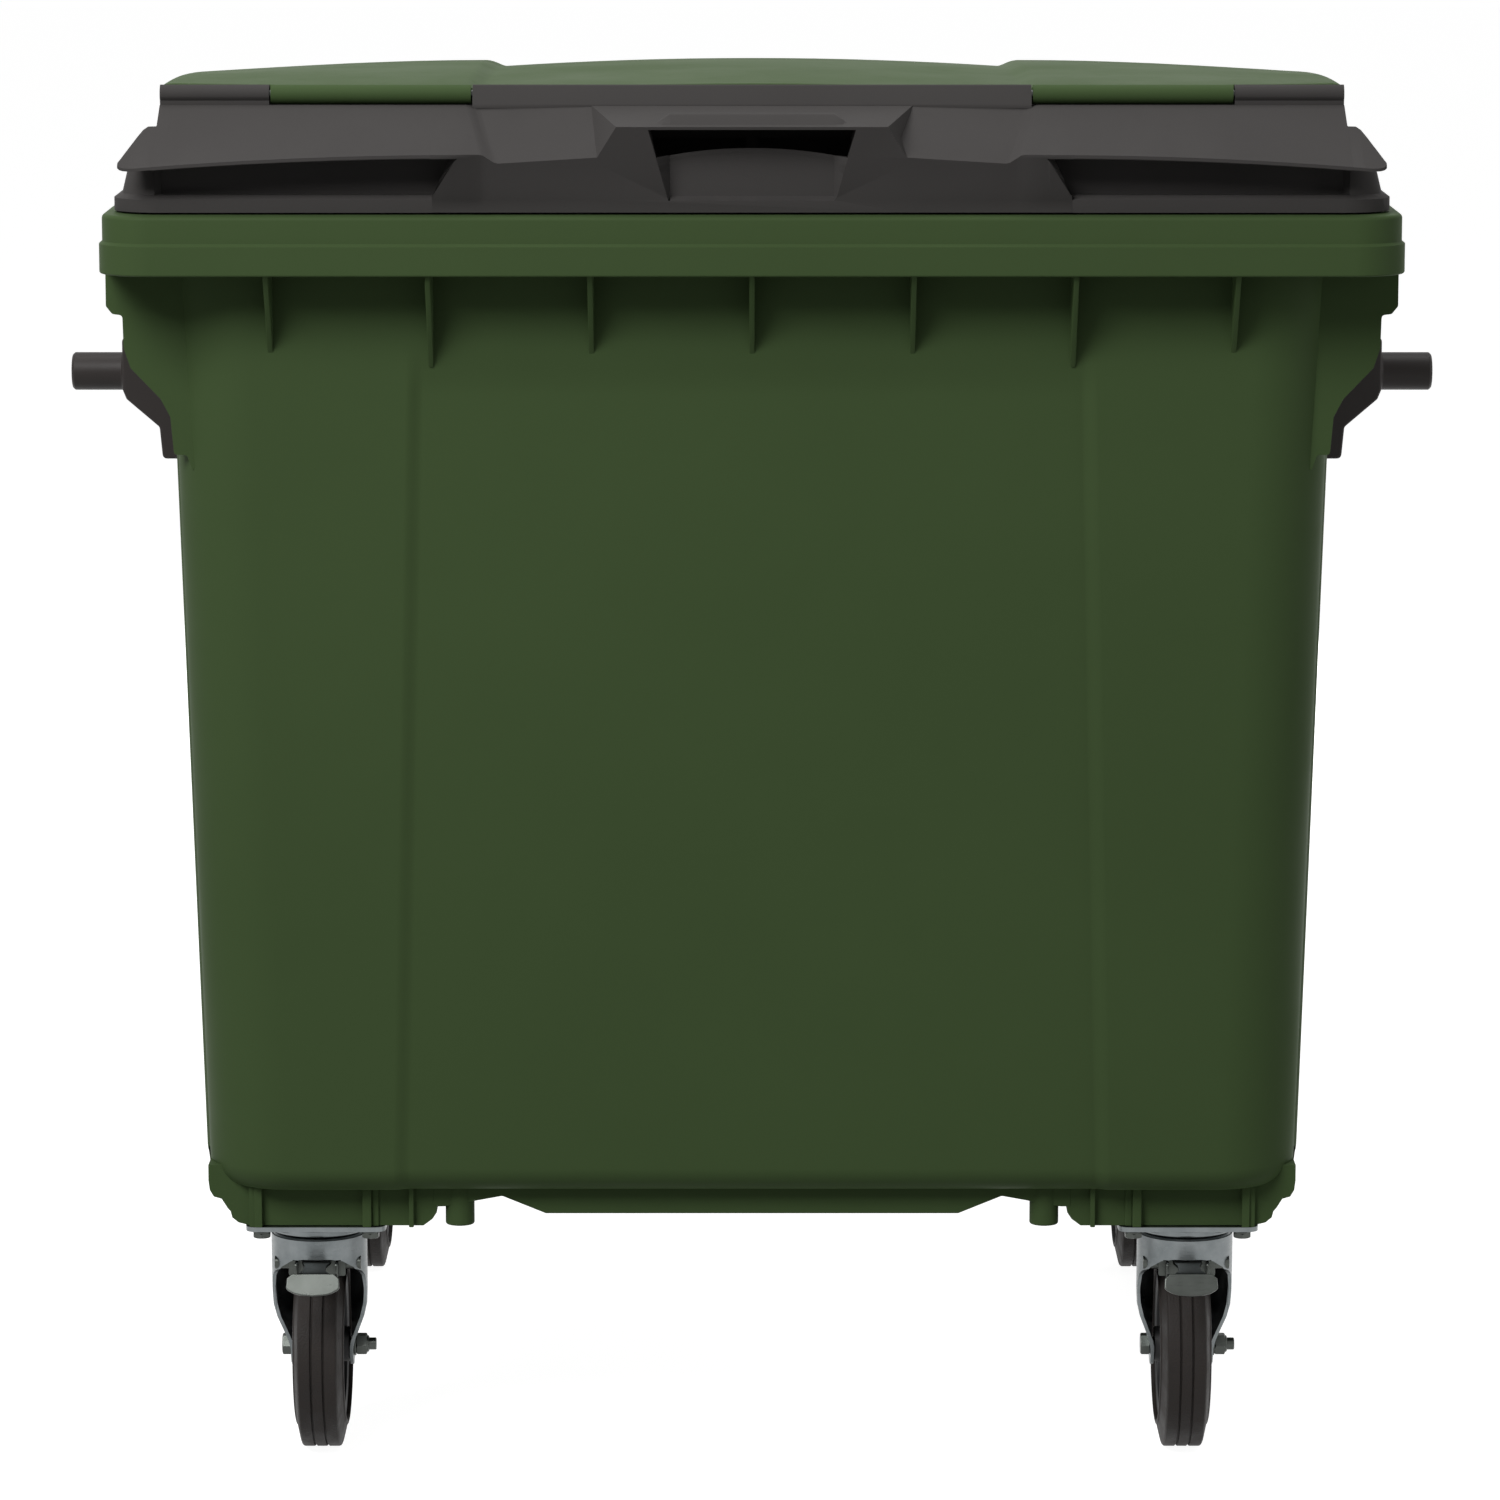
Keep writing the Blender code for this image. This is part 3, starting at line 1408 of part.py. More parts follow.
def make_casters():
    swivel_pieces = {
        "plate": (plate_mesh(), zinc), "kingpin": (kingpin_mesh(), zinc), "fork": (fork_mesh(), zinc),
    }
    wheel_pieces = {
        "tyre": (tyre_mesh(), rubber), "wheel": (wheel_mesh(), hub_plastic),
        "axle": (axle_mesh(), zinc), "nut": (nut_mesh(), zinc),
    }
    pedal_pieces = {"pedal": (pedal_mesh(), zinc), "pedal_pin": (pivot_mesh(), zinc)}
    bolt = bolt_mesh()
    bolt.materials.append(zinc)
    for mesh, material in [*swivel_pieces.values(), *wheel_pieces.values(), *pedal_pieces.values()]:
        mesh.materials.clear()
        mesh.materials.append(material)
    for row, y_side in (("front", -1), ("rear", 1)):
        for column, x_side in (("left", -1), ("right", 1)):
            place_caster(f"{row}_{column}", x_side, y_side, swivel_pieces, wheel_pieces, pedal_pieces)
    for x_side, y_side, k, x, y in bolt_spots():
        row = "front" if y_side < 0 else "rear"
        column = "left" if x_side < 0 else "right"
        place_copy(None, bolt, f"{row}_{column}_bolt_{k + 1}",
                   Matrix.Translation((x, y, plate_foot - seat_gap)))


def place_caster(corner, x_side, y_side, swivel_pieces, wheel_pieces, pedal_pieces):
    """Put one caster's pieces under an empty on its swivel axis."""
    swivel = bpy.data.objects.new(f"{corner}_swivel", None)
    swivel.location = (x_side * caster_x, y_side * caster_y, 0.0)
    parts.objects.link(swivel)
    axle = bpy.data.objects.new(f"{corner}_axle_line", None)
    axle.parent = swivel
    axle.location = (0.0, wheel_trail, wheel_radius)
    parts.objects.link(axle)
    for name, (mesh, _) in swivel_pieces.items():
        place_copy(None, mesh, f"{corner}_{name}", Matrix.Identity(4)).parent = swivel
    for name, (mesh, _) in wheel_pieces.items():
        place_copy(None, mesh, f"{corner}_{name}", Matrix.Identity(4)).parent = axle
    if y_side < 0:
        for name, (mesh, _) in pedal_pieces.items():
            place_copy(None, mesh, f"{corner}_{name}", Matrix.Identity(4)).parent = swivel


make_tub()
make_drain()
make_trunnion(-1, "trunnion_left")
make_trunnion(1, "trunnion_right")
make_main_lid()
make_lid_pin(-1, "lid_pin_left")
make_lid_pin(1, "lid_pin_right")
make_inner_pin(-1, "inner_pin_left")
make_inner_pin(1, "inner_pin_right")
make_inner_lid()
make_casters()
for spare in list(tools.objects):
    bpy.data.objects.remove(spare, do_unlink=True)
bpy.context.view_layer.update()
triangles = 0
for node in parts.objects:
    if node.type == 'MESH':
        node.data.calc_loop_triangles()
        triangles += len(node.data.loop_triangles)
print("nodes", sum(node.type == 'MESH' for node in parts.objects), "triangles", triangles)
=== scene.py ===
# %% [markdown]
# A four-wheeled waste container. The imported solids give every piece its place, its size and the way it
# moves. This script gives each one the rounded edges, the surface and the finish of the real thing.
# The first cell loads the solids, which stay where they are.

# %% Load the frame
import math

import bmesh
import bpy
from mathutils import Matrix, Vector


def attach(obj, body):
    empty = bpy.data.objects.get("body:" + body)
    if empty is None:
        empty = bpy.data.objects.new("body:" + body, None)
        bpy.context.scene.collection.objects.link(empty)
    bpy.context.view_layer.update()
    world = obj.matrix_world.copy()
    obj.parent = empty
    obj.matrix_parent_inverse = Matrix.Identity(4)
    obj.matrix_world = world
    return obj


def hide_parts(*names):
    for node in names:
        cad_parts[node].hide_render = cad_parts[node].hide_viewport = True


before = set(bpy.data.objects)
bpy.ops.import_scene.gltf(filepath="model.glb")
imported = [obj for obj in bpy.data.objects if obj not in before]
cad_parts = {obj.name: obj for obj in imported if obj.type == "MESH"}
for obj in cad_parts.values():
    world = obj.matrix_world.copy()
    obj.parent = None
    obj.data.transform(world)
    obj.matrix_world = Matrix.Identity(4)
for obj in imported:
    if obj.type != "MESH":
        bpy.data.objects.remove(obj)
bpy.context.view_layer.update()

# %% [markdown]
# Moulded plastic and pressed steel have no sharp edges: each edge is rounded by a millimetre or two, and
# that thin curve is what catches the light. So every piece here is built as a closed solid first, and
# its edges are rounded afterwards by a Bevel. Weighted normals then keep the large faces flat to the eye.
# Pieces that touch are left a hair apart, so that no two faces lie in one plane, and pieces that turn in
# each other have a fit gap. Where one solid cuts another it goes beyond it by the overrun, and where one
# is joined to another it is sunk into it a little.

# %% Helpers that make and round closed solids
weld = 0.00001
overrun = 0.003
hair = 0.0003
sunk = 0.0002
fit_gap = 0.0006
block_round = 0.0012
rib_round = 0.0010
steel_round = 0.0007
thin_round = 0.0006
washer_round = 0.0004
left_right = ((-1, "left"), (1, "right"))
front_rear = ((-1, "front"), (1, "rear"))
four_corners = ((-1, -1), (-1, 1), (1, -1), (1, 1))
around = ((-1, -1), (1, -1), (1, 1), (-1, 1))


def link(name, mesh):
    """Put a mesh into the scene."""
    piece = bpy.data.objects.new(name, mesh)
    bpy.context.scene.collection.objects.link(piece)
    return piece


def from_bmesh(name, bm):
    """A new piece made from a bmesh, its doubles merged and its faces turned outwards."""
    bmesh.ops.remove_doubles(bm, verts=bm.verts, dist=weld)
    bmesh.ops.recalc_face_normals(bm, faces=bm.faces)
    mesh = bpy.data.meshes.new(name)
    bm.to_mesh(mesh)
    bm.free()
    return link(name, mesh)


def settle(piece):
    """Make a piece's modifiers and its place part of its mesh."""
    bpy.context.view_layer.update()
    graph = bpy.context.evaluated_depsgraph_get()
    done = piece.evaluated_get(graph)
    mesh = bpy.data.meshes.new_from_object(done, preserve_all_data_layers=True, depsgraph=graph)
    mesh.transform(piece.matrix_world)
    piece.modifiers.clear()
    piece.data = mesh
    piece.matrix_world = Matrix.Identity(4)
    return piece


def shade(piece, angle=38):
    """Smooth shading that keeps flat faces flat and sharp edges sharp."""
    piece.data.shade_smooth()
    piece.data.set_sharp_from_angle(angle=math.radians(angle))
    step = piece.modifiers.new("shade", 'WEIGHTED_NORMAL')
    step.keep_sharp = True
    return settle(piece)


def soften(piece, width, segments=3, angle=30):
    """Round the edges of a piece and shade it."""
    step = piece.modifiers.new("soften", 'BEVEL')
    step.width = width
    step.segments = segments
    step.limit_method = 'ANGLE'
    step.angle_limit = math.radians(angle)
    return shade(settle(piece))


# %% Helpers that join and cut solids
def combine(piece, others, operation):
    """Join or cut a piece with others, which are used up."""
    for other in others:
        step = piece.modifiers.new(operation.lower(), 'BOOLEAN')
        step.operation = operation
        step.solver = 'EXACT'
        step.object = other
    settle(piece)
    for other in others:
        bpy.data.objects.remove(other, do_unlink=True)
    return piece


def fuse(piece, *others):
    return combine(piece, others, 'UNION')


def cut(piece, *others):
    return combine(piece, others, 'DIFFERENCE')


def keep_within(piece, other):
    return combine(piece, [other], 'INTERSECT')


def gather(name, pieces):
    """Several finished pieces as one mesh."""
    bm = bmesh.new()
    for piece in pieces:
        bm.from_mesh(piece.data)
    mesh = bpy.data.meshes.new(name)
    bm.to_mesh(mesh)
    bm.free()
    for piece in pieces:
        bpy.data.objects.remove(piece, do_unlink=True)
    return link(name, mesh)


# %% Helpers that draw the basic forms
def box(low, high):
    """A box between two corners."""
    bm = bmesh.new()
    bmesh.ops.create_cube(bm, size=1.0)
    low, high = Vector(low), Vector(high)
    for vert in bm.verts:
        vert.co = Vector(a * b for a, b in zip(vert.co, high - low)) + (high + low) / 2
    return from_bmesh("box", bm)


def rod(radius, start, end, sides=48):
    """A cylinder or prism between two points."""
    start, end = Vector(start), Vector(end)
    bm = bmesh.new()
    bmesh.ops.create_cone(bm, cap_ends=True, segments=sides, radius1=radius, radius2=radius,
                          depth=(end - start).length)
    piece = from_bmesh("rod", bm)
    lean = (end - start).to_track_quat('Z', 'Y').to_matrix().to_4x4()
    piece.matrix_world = Matrix.Translation((start + end) / 2) @ lean
    return settle(piece)


def turned(profile, sides=64):
    """A turned solid about Z from a closed profile of (radius, height) points."""
    rows = []
    bm = bmesh.new()
    for k in range(sides):
        angle = k * math.tau / sides
        rows.append([bm.verts.new((r * math.cos(angle), r * math.sin(angle), z)) for r, z in profile])
    for here, after in zip(rows, rows[1:] + rows[:1]):
        for i in range(len(profile)):
            j = (i + 1) % len(profile)
            if profile[i][0] or profile[j][0]:
                bm.faces.new((here[i], here[j], after[j], after[i]))
    bmesh.ops.remove_doubles(bm, verts=bm.verts, dist=weld)
    bmesh.ops.dissolve_degenerate(bm, edges=bm.edges, dist=weld)
    return from_bmesh("turned", bm)


def plate(outline, thick, place):
    """A flat outline with a thickness, put where the matrix says."""
    bm = bmesh.new()
    lower = [bm.verts.new((across, up, -thick / 2)) for across, up in outline]
    upper = [bm.verts.new((across, up, thick / 2)) for across, up in outline]
    bm.faces.new(lower)
    bm.faces.new(upper)
    for i in range(len(outline)):
        j = (i + 1) % len(outline)
        bm.faces.new((lower[i], lower[j], upper[j], upper[i]))
    piece = from_bmesh("plate", bm)
    piece.matrix_world = place
    settle(piece)
    if place.determinant() < 0:
        piece.data.flip_normals()
    return piece


def loft(sections, hoop=False):
    """A closed solid through cross-sections with the same number of points, or a hoop of them."""
    bm = bmesh.new()
    rows = [[bm.verts.new(spot) for spot in section] for section in sections]
    steps = list(zip(rows, rows[1:]))
    if hoop:
        steps.append((rows[-1], rows[0]))
    for here, after in steps:
        for i in range(len(here)):
            j = (i + 1) % len(here)
            bm.faces.new((here[i], here[j], after[j], after[i]))
    if not hoop:
        bm.faces.new(rows[0])
        bm.faces.new(rows[-1])
    return from_bmesh("loft", bm)


def rounded_outline(points, radius, steps=5):
    """The same closed outline with its corners turned into arcs."""
    done = []
    for i, here in enumerate(points):
        spot = Vector(here)
        before, after = Vector(points[i - 1]) - spot, Vector(points[(i + 1) % len(points)]) - spot
        angle = before.angle(after)
        reach = min(radius / math.tan(angle / 2), before.length * 0.45, after.length * 0.45)
        start, end = spot + before.normalized() * reach, spot + after.normalized() * reach
        for k in range(steps + 1):
            share = k / steps
            first, second = start.lerp(spot, share), spot.lerp(end, share)
            done.append(tuple(first.lerp(second, share)))
    return done


def across_y(x_side, y=0.0):
    """Turn an outline drawn in (outward X, Z) into place on one side of the container, at a depth."""
    return Matrix(((x_side, 0, 0, 0), (0, 0, -1, y), (0, 1, 0, 0), (0, 0, 0, 1)))


def across_x(y_side, x=0.0):
    """Turn an outline drawn in (outward Y, Z) into place at the front or the rear, at a width."""
    return Matrix(((0, 0, 1, x), (y_side, 0, 0, 0), (0, 1, 0, 0), (0, 0, 0, 1)))


def slice_at(x, corners):
    """A cross-section at a width, its corners given by their distance to the front and their height."""
    return [Vector((x, -front, z)) for front, z in corners]


# %% [markdown]
# Three effects come back in several finishes. A fine grain is left on a moulding by the etched steel of
# its mould. A slow mottle comes from the pigment and from handling. Rolled zinc shows soft brushed
# streaks. Each is a node group with its own inputs, which the finishes below use at their own scale.

# %% Helpers that build node trees
def feed(tree, node, inputs):
    """Fill a node's inputs: the output of another node is linked, anything else is set."""
    for key, value in inputs.items():
        if isinstance(value, bpy.types.NodeSocket):
            tree.links.new(value, node.inputs[key])
        else:
            node.inputs[key].default_value = value
    return node


def add(tree, kind, inputs=None, **settings):
    node = tree.nodes.new(kind)
    for key, value in settings.items():
        setattr(node, key, value)
    return feed(tree, node, inputs or {})


def calculate(tree, operation, first, second, kind='ShaderNodeMath'):
    return add(tree, kind, {0: first, 1: second}, operation=operation).outputs[0]


def noise(tree, vector, scale, detail=4.0, roughness=0.6):
    inputs = {"Vector": vector, "Scale": scale, "Detail": detail, "Roughness": roughness}
    return add(tree, 'ShaderNodeTexNoise', inputs).outputs['Fac']


def stretched(tree, vector, scale):
    return add(tree, 'ShaderNodeMapping', {"Vector": vector, "Scale": scale}).outputs['Vector']


def ramp(tree, value, low, high, out_low=0.0, out_high=1.0):
    inputs = {"Value": value, "From Min": low, "From Max": high, "To Min": out_low, "To Max": out_high}
    return add(tree, 'ShaderNodeMapRange', inputs).outputs['Result']


# %% Shared surface effects
def effect(name, first, second):
    """A group that takes a position and a scale and gives two values."""
    tree = bpy.data.node_groups.new(name, 'ShaderNodeTree')
    for label, kind in (("Position", 'NodeSocketVector'), ("Scale", 'NodeSocketFloat')):
        tree.interface.new_socket(label, in_out='INPUT', socket_type=kind)
    for label in (first, second):
        tree.interface.new_socket(label, in_out='OUTPUT', socket_type='NodeSocketFloat')
    given = tree.nodes.new('NodeGroupInput').outputs
    return tree, given['Position'], given['Scale'], tree.nodes.new('NodeGroupOutput')


def make_grain():
    """Etched mould grain: a height, and a value that lightly varies the gloss."""
    tree, where, scale, end = effect("mould grain", "Height", "Gloss")
    feed(tree, end, {"Height": noise(tree, where, scale, 2.0, 0.55),
                     "Gloss": ramp(tree, noise(tree, where, 7.0, 3.0, 0.5), 0.3, 0.7)})
    return tree


def make_mottle():
    """Slow colour change, with faint upright drag marks left by handling and rain."""
    tree, where, scale, end = effect("mottle", "Shade", "Marks")
    drag = noise(tree, stretched(tree, where, (60.0, 60.0, 4.0)), 1.0, 3.0)
    feed(tree, end, {"Shade": ramp(tree, noise(tree, where, scale), 0.25, 0.75),
                     "Marks": ramp(tree, drag, 0.58, 0.80)})
    return tree


def make_zinc_streaks():
    """Brushed streaks along the rolling direction, and the cloudy bloom of a zinc bath."""
    tree, where, scale, end = effect("zinc streaks", "Streak", "Bloom")
    fine = noise(tree, stretched(tree, where, (1.0, 1.0, 9.0)), scale)
    feed(tree, end, {"Streak": ramp(tree, fine, 0.3, 0.7),
                     "Bloom": ramp(tree, noise(tree, where, 38.0), 0.3, 0.7)})
    return tree


def make_pebble():
    """The pebbled skin of a solid rubber tread."""
    tree, where, scale, end = effect("pebble", "Height", "Dust")
    cells = add(tree, 'ShaderNodeTexVoronoi', {"Vector": where, "Scale": scale}, feature='SMOOTH_F1')
    feed(tree, end, {"Height": cells.outputs['Distance'],
                     "Dust": ramp(tree, noise(tree, where, 45.0), 0.35, 0.75)})
    return tree


mould_grain, mottle, zinc_streaks, pebble = make_grain(), make_mottle(), make_zinc_streaks(), make_pebble()
print("surface effects", [g.name for g in (mould_grain, mottle, zinc_streaks, pebble)])

# %% [markdown]
# The tub and the inner lid are one dark green polyethylene, the lid frame an anthracite one, the
# trunnions nearly black. All share one recipe: a base colour that wanders a little, a gloss that wanders
# with it, and the grain as a very shallow bump. Colours, gloss and depths differ between them. The steel
# pieces share a recipe of streaks in the same way, and the tyres and the seal one of pebbled rubber.

# %% Finishes
mottle_scale = 2.2
grain_scale = 1100.0
pebble_scale = 640.0
mark_roughness = 0.05


def blank_material(name):
    material = bpy.data.materials.new(name)
    material.use_nodes = True
    tree = material.node_tree
    where = add(tree, 'ShaderNodeTexCoord')
    return material, tree, tree.nodes['Principled BSDF'], where.outputs['Object']


def use(tree, effect_tree, position, scale):
    return add(tree, 'ShaderNodeGroup', {"Position": position, "Scale": scale}, node_tree=effect_tree).outputs


def blend_colour(tree, share, dark, light):
    inputs = {"Factor": share, 6: (*dark, 1.0), 7: (*light, 1.0)}
    return add(tree, 'ShaderNodeMix', inputs, data_type='RGBA').outputs[2]


def bump(tree, height, distance, strength):
    inputs = {"Height": height, "Distance": distance, "Strength": strength}
    return add(tree, 'ShaderNodeBump', inputs).outputs['Normal']


def moulding(name, dark, light, rough_low, rough_high, grain_depth, specular=0.35):
    """A grained plastic moulding."""
    material, tree, shader, position = blank_material(name)
    cloud = use(tree, mottle, position, mottle_scale)
    grain = use(tree, mould_grain, position, grain_scale)
    rough = ramp(tree, grain['Gloss'], 0.0, 1.0, rough_low, rough_high)
    worn = add(tree, 'ShaderNodeMath', {0: cloud['Marks'], 1: mark_roughness, 2: rough},
               operation='MULTIPLY_ADD')
    feed(tree, shader, {
        "Base Color": blend_colour(tree, cloud['Shade'], dark, light), "Roughness": worn.outputs[0],
        "Normal": bump(tree, grain['Height'], grain_depth, 0.35), "Specular IOR Level": specular})
    return material


def zinc_plate(name, dark, light, rough_low, rough_high, scale, depth=0.0001):
    """Zinc-plated steel."""
    material, tree, shader, position = blank_material(name)
    streaks = use(tree, zinc_streaks, position, scale)
    feed(tree, shader, {
        "Base Color": blend_colour(tree, streaks['Bloom'], dark, light), "Metallic": 1.0,
        "Roughness": ramp(tree, streaks['Streak'], 0.0, 1.0, rough_low, rough_high),
        "Normal": bump(tree, streaks['Streak'], depth, 0.25)})
    return material


def tyre_rubber(name, dark, light):
    """Dark rubber with a pebbled, slightly dusty skin."""
    material, tree, shader, position = blank_material(name)
    skin = use(tree, pebble, position, pebble_scale)
    feed(tree, shader, {
        "Base Color": blend_colour(tree, skin['Dust'], dark, light), "Specular IOR Level": 0.20,
        "Roughness": ramp(tree, skin['Dust'], 0.0, 1.0, 0.55, 0.75),
        "Normal": bump(tree, skin['Height'], 0.0006, 0.6)})
    return material


green = moulding("green_plastic", (0.0380, 0.0620, 0.0235), (0.0420, 0.0680, 0.0260),
                 0.50, 0.60, 0.00012, 0.04)
black = moulding("black_plastic", (0.0410, 0.0386, 0.0376), (0.0450, 0.0424, 0.0414),
                 0.60, 0.70, 0.00022, 0.04)
pin_black = moulding("trunnion_plastic", (0.016, 0.013, 0.012), (0.021, 0.017, 0.016),
                     0.42, 0.52, 0.00018, 0.20)
hub_black = moulding("wheel_plastic", (0.012, 0.012, 0.013), (0.018, 0.018, 0.019), 0.44, 0.54, 0.00018)
rubber = tyre_rubber("tyre", (0.011, 0.0088, 0.0078), (0.020, 0.0162, 0.0145))
seal_rubber = tyre_rubber("seal_rubber", (0.014, 0.014, 0.014), (0.020, 0.020, 0.020))
zinc = zinc_plate("zinc_steel", (0.128, 0.142, 0.146), (0.190, 0.205, 0.209), 0.26, 0.40, 70.0)
bright_zinc = zinc_plate("bright_zinc", (0.056, 0.061, 0.056), (0.076, 0.082, 0.076),
                         0.26, 0.36, 60.0, 0.00004)
print("finishes", len(bpy.data.materials))

# %% [markdown]
# Each finished piece rides on the body that carries it and stands for one or more of the imported solids. One
# helper does all of that.


# %% Helper that dresses a piece
made = []


def dress(piece, name, body, material, slot, *nodes):
    """Name a finished piece, give it its finish and hand it to the frame."""
    piece.name = name
    piece.data.name = name
    piece.data.materials.clear()
    piece.data.materials.append(material)
    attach(piece, body)
    if nodes:
        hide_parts(*nodes)
    made.append(name)
    return piece


# %% [markdown]
# The tub is one deep moulding. Its plan is a rounded rectangle whose long sides are set back by five
# millimetres between two upright creases and whose short sides swell a little. A ring of points gives
# that plan at any height, so the whole tub is a stack of rings: up the inner face, over the rim and down
# the outer face. That keeps the wall an even thickness, which an inward copy of one surface would not.

# %% Sizes of the tub
rim_half_x = 0.607
rim_half_y = 0.535
rim_upper_band = 0.0265
rim_lower_band = 0.029
rim_step = 0.0030
rim_ledge = 0.0030
rim_edge = 0.004
rim_corner = 0.050
wall = 0.0045
rim_reach = 0.058
side_head_x = rim_half_x - rim_reach + 0.0017
side_foot_x = side_head_x - 0.0265
front_head_y = rim_half_y - rim_reach
front_foot_y = front_head_y - 0.030
wall_corner = 0.078
foot_radius = 0.025
rim_top = 1.2225
floor_z = 0.278
rim_mid = rim_top - rim_upper_band
rim_foot = rim_mid - rim_lower_band
pan_depth = 0.026
pan_half_x = 0.205
pan_half_y = front_foot_y - 0.049
pan_slope = 0.012
pan_corner = 0.020
dent_depth = 0.005
dent_foot_half = 0.328
dent_head_half = 0.303
dent_fade = 0.050
dent_drop = 0.1225
dent_step = 0.017
bulge = 0.006
bulge_half = 0.350
corner_steps = 14
foot_steps = 9
edge_steps = 4
ledge_shares = [(0.0, 0.0), (0.10, 0.03), (0.20, 0.14), (0.80, 0.86), (0.90, 0.97), (1.0, 1.0)]
crease_shares = [(0.0, 0.0), (0.25, 0.14), (0.5, 0.5), (0.75, 0.86), (1.0, 1.0)]


# %% Rings of the tub
def side_points(half, dent, flat):
    """One straight side: flat, a soft step in, the middle field, and the step out again."""
    left = [(-half - dent_step * (1 - along), flat - dent * deep) for along, deep in crease_shares]
    return left + [(-across, away) for across, away in reversed(left)]


def ring(z, half_x, half_y, radius, dent=0.0, dent_half=dent_foot_half, out=0.0):
    """A closed ring of points round the container, seen from above against the clock."""
    radius = max(radius, overrun)
    half_long = min(bulge_half, half_y - radius - dent_step * 2)
    half_wide = min(dent_half, half_x - radius - dent_step * 2)
    sides = [(half_wide, dent, half_y, half_x), (half_long, -out, half_x, half_y)] * 2
    spots = []
    for quarter, (half, inward, flat, beside) in enumerate(sides):
        turn = Matrix.Rotation(quarter * math.pi / 2, 2)
        for across, away in side_points(half, inward, flat):
            spots.append(turn @ Vector((across, -away)))
        for k in range(corner_steps + 1):
            angle = -math.pi / 2 + k * math.pi / 2 / corner_steps
            spots.append(turn @ Vector((beside - radius + radius * math.cos(angle),
                                        radius - flat + radius * math.sin(angle))))
    return [Vector((spot.x, spot.y, z)) for spot in spots]


def up_share(z):
    return (z - floor_z) / (rim_top - floor_z)


def wall_x(z):
    return side_foot_x + up_share(z) * (side_head_x - side_foot_x)


def wall_y(z):
    return front_foot_y + up_share(z) * (front_head_y - front_foot_y)


def corner_x(y, z):
    """Outer half width of the rounded corner at a depth y from the middle."""
    from_centre = y - (wall_y(z) - wall_corner)
    return wall_x(z) - wall_corner + math.sqrt(wall_corner ** 2 - from_centre ** 2)


def wall_ring(z, inset, dent):
    half = dent_foot_half + up_share(z) * (dent_head_half - dent_foot_half)
    return ring(z, wall_x(z) - inset, wall_y(z) - inset, wall_corner - inset, dent, half, bulge)


def rim_ring(z, inset):
    return ring(z, rim_half_x - inset, rim_half_y - inset, rim_corner - inset, 0.0, dent_head_half)


def pan_ring(z, grow):
    return ring(z, pan_half_x + grow, pan_half_y + grow, pan_corner)


def arc(steps, start=0.0, end=math.pi / 2):
    """Sines and cosines of a few angles along an arc."""
    for k in range(steps + 1):
        angle = start + (end - start) * k / steps
        yield math.sin(angle), math.cos(angle)


def face_rings(skin):
    """One face of the tub from the drain pan up to the rim: the outer one, or inside by a skin."""
    bottom = floor_z + skin
    rings = [pan_ring(bottom - pan_depth, wall - skin - pan_slope), pan_ring(bottom, wall - skin),
             wall_ring(bottom, foot_radius + 0.010, 0.0)]
    radius = foot_radius - skin
    for sine, cosine in arc(foot_steps):
        rings.append(wall_ring(bottom + radius * (1 - cosine), skin + radius * (1 - sine), dent_depth))
    for share, deep in crease_shares:
        z = rim_top - dent_drop - dent_fade * (1 - share)
        rings.append(wall_ring(z, skin, dent_depth * (1 - deep)))
    return rings


def over_rim():
    """From the inner face's head, over the rim and its two bands, back to the outer face's head."""
    edge, lip, inner = rim_edge, rim_edge / 2, rim_step + wall
    rings = [wall_ring(rim_top - edge * (1 - sine), wall - edge * (1 - cosine), 0.0)
             for sine, cosine in arc(edge_steps)]
    rings += [rim_ring(rim_top - edge * (1 - cosine), rim_step + edge * (1 - sine))
              for sine, cosine in arc(edge_steps)]
    rings += [rim_ring(rim_mid + rim_ledge * (0.5 - up), rim_step * (1 - out)) for up, out in ledge_shares]
    rings += [rim_ring(rim_foot + lip * (1 - sine), lip * (1 - cosine)) for sine, cosine in arc(edge_steps)]
    rings += [rim_ring(rim_foot + lip * (1 - cosine) / 2, wall - lip * (1 - sine) / 2)
              for sine, cosine in arc(2)]
    rings += [rim_ring(rim_mid - rim_step, wall), rim_ring(rim_mid, inner),
              rim_ring(rim_top - wall - lip, inner), rim_ring(rim_top - wall, inner + lip),
              wall_ring(rim_top - wall, -lip, 0.0), wall_ring(rim_top - wall - lip, 0.0, 0.0)]
    return rings


# %% The tub's shell
shell = loft(face_rings(wall) + over_rim() + list(reversed(face_rings(0.0))))
drain_y = pan_half_y - 0.088
drain_radius = 0.025
cut(shell, rod(drain_radius + fit_gap, (0, -drain_y, floor_z - pan_depth - overrun),
               (0, -drain_y, floor_z + overrun)))
shade(shell, angle=32)
dress(shell, "tub_shell", "container", green, "green_plastic", "tub")
print("tub shell faces", len(shell.data.polygons))

# %% [markdown]
# Thin ribs tie the wide rim to the wall. They stand at one pitch along the front and the rear, and the
# second from each end is a little longer. One rib is drawn and rounded, and Geometry Nodes sets it out: a
# line of points, the rib on each, and the index of a point telling whether its rib is a long one.

# %% Sizes of the ribs
rib_thick = 0.005
rib_pitch = 0.150
rib_count = 7
rib_height = 0.0790
rib_long_share = 0.00675 / rib_height
rib_top = rim_top - wall * 0.8
rib_end_x = rim_half_x - rim_step - wall * 0.8
rib_end_y = rim_half_y - rim_step - wall * 0.8


def rib_outline():
    tip = rim_foot - rib_height
    return [(wall_y(rib_top) - wall / 2, rib_top), (rib_end_y, rib_top), (rib_end_y, rim_foot + rim_edge),
            (rib_end_y - wall * 0.4, rim_foot - rim_step), (wall_y(tip) + wall * 0.3, tip + wall),
            (wall_y(tip) - wall * 0.4, tip)]


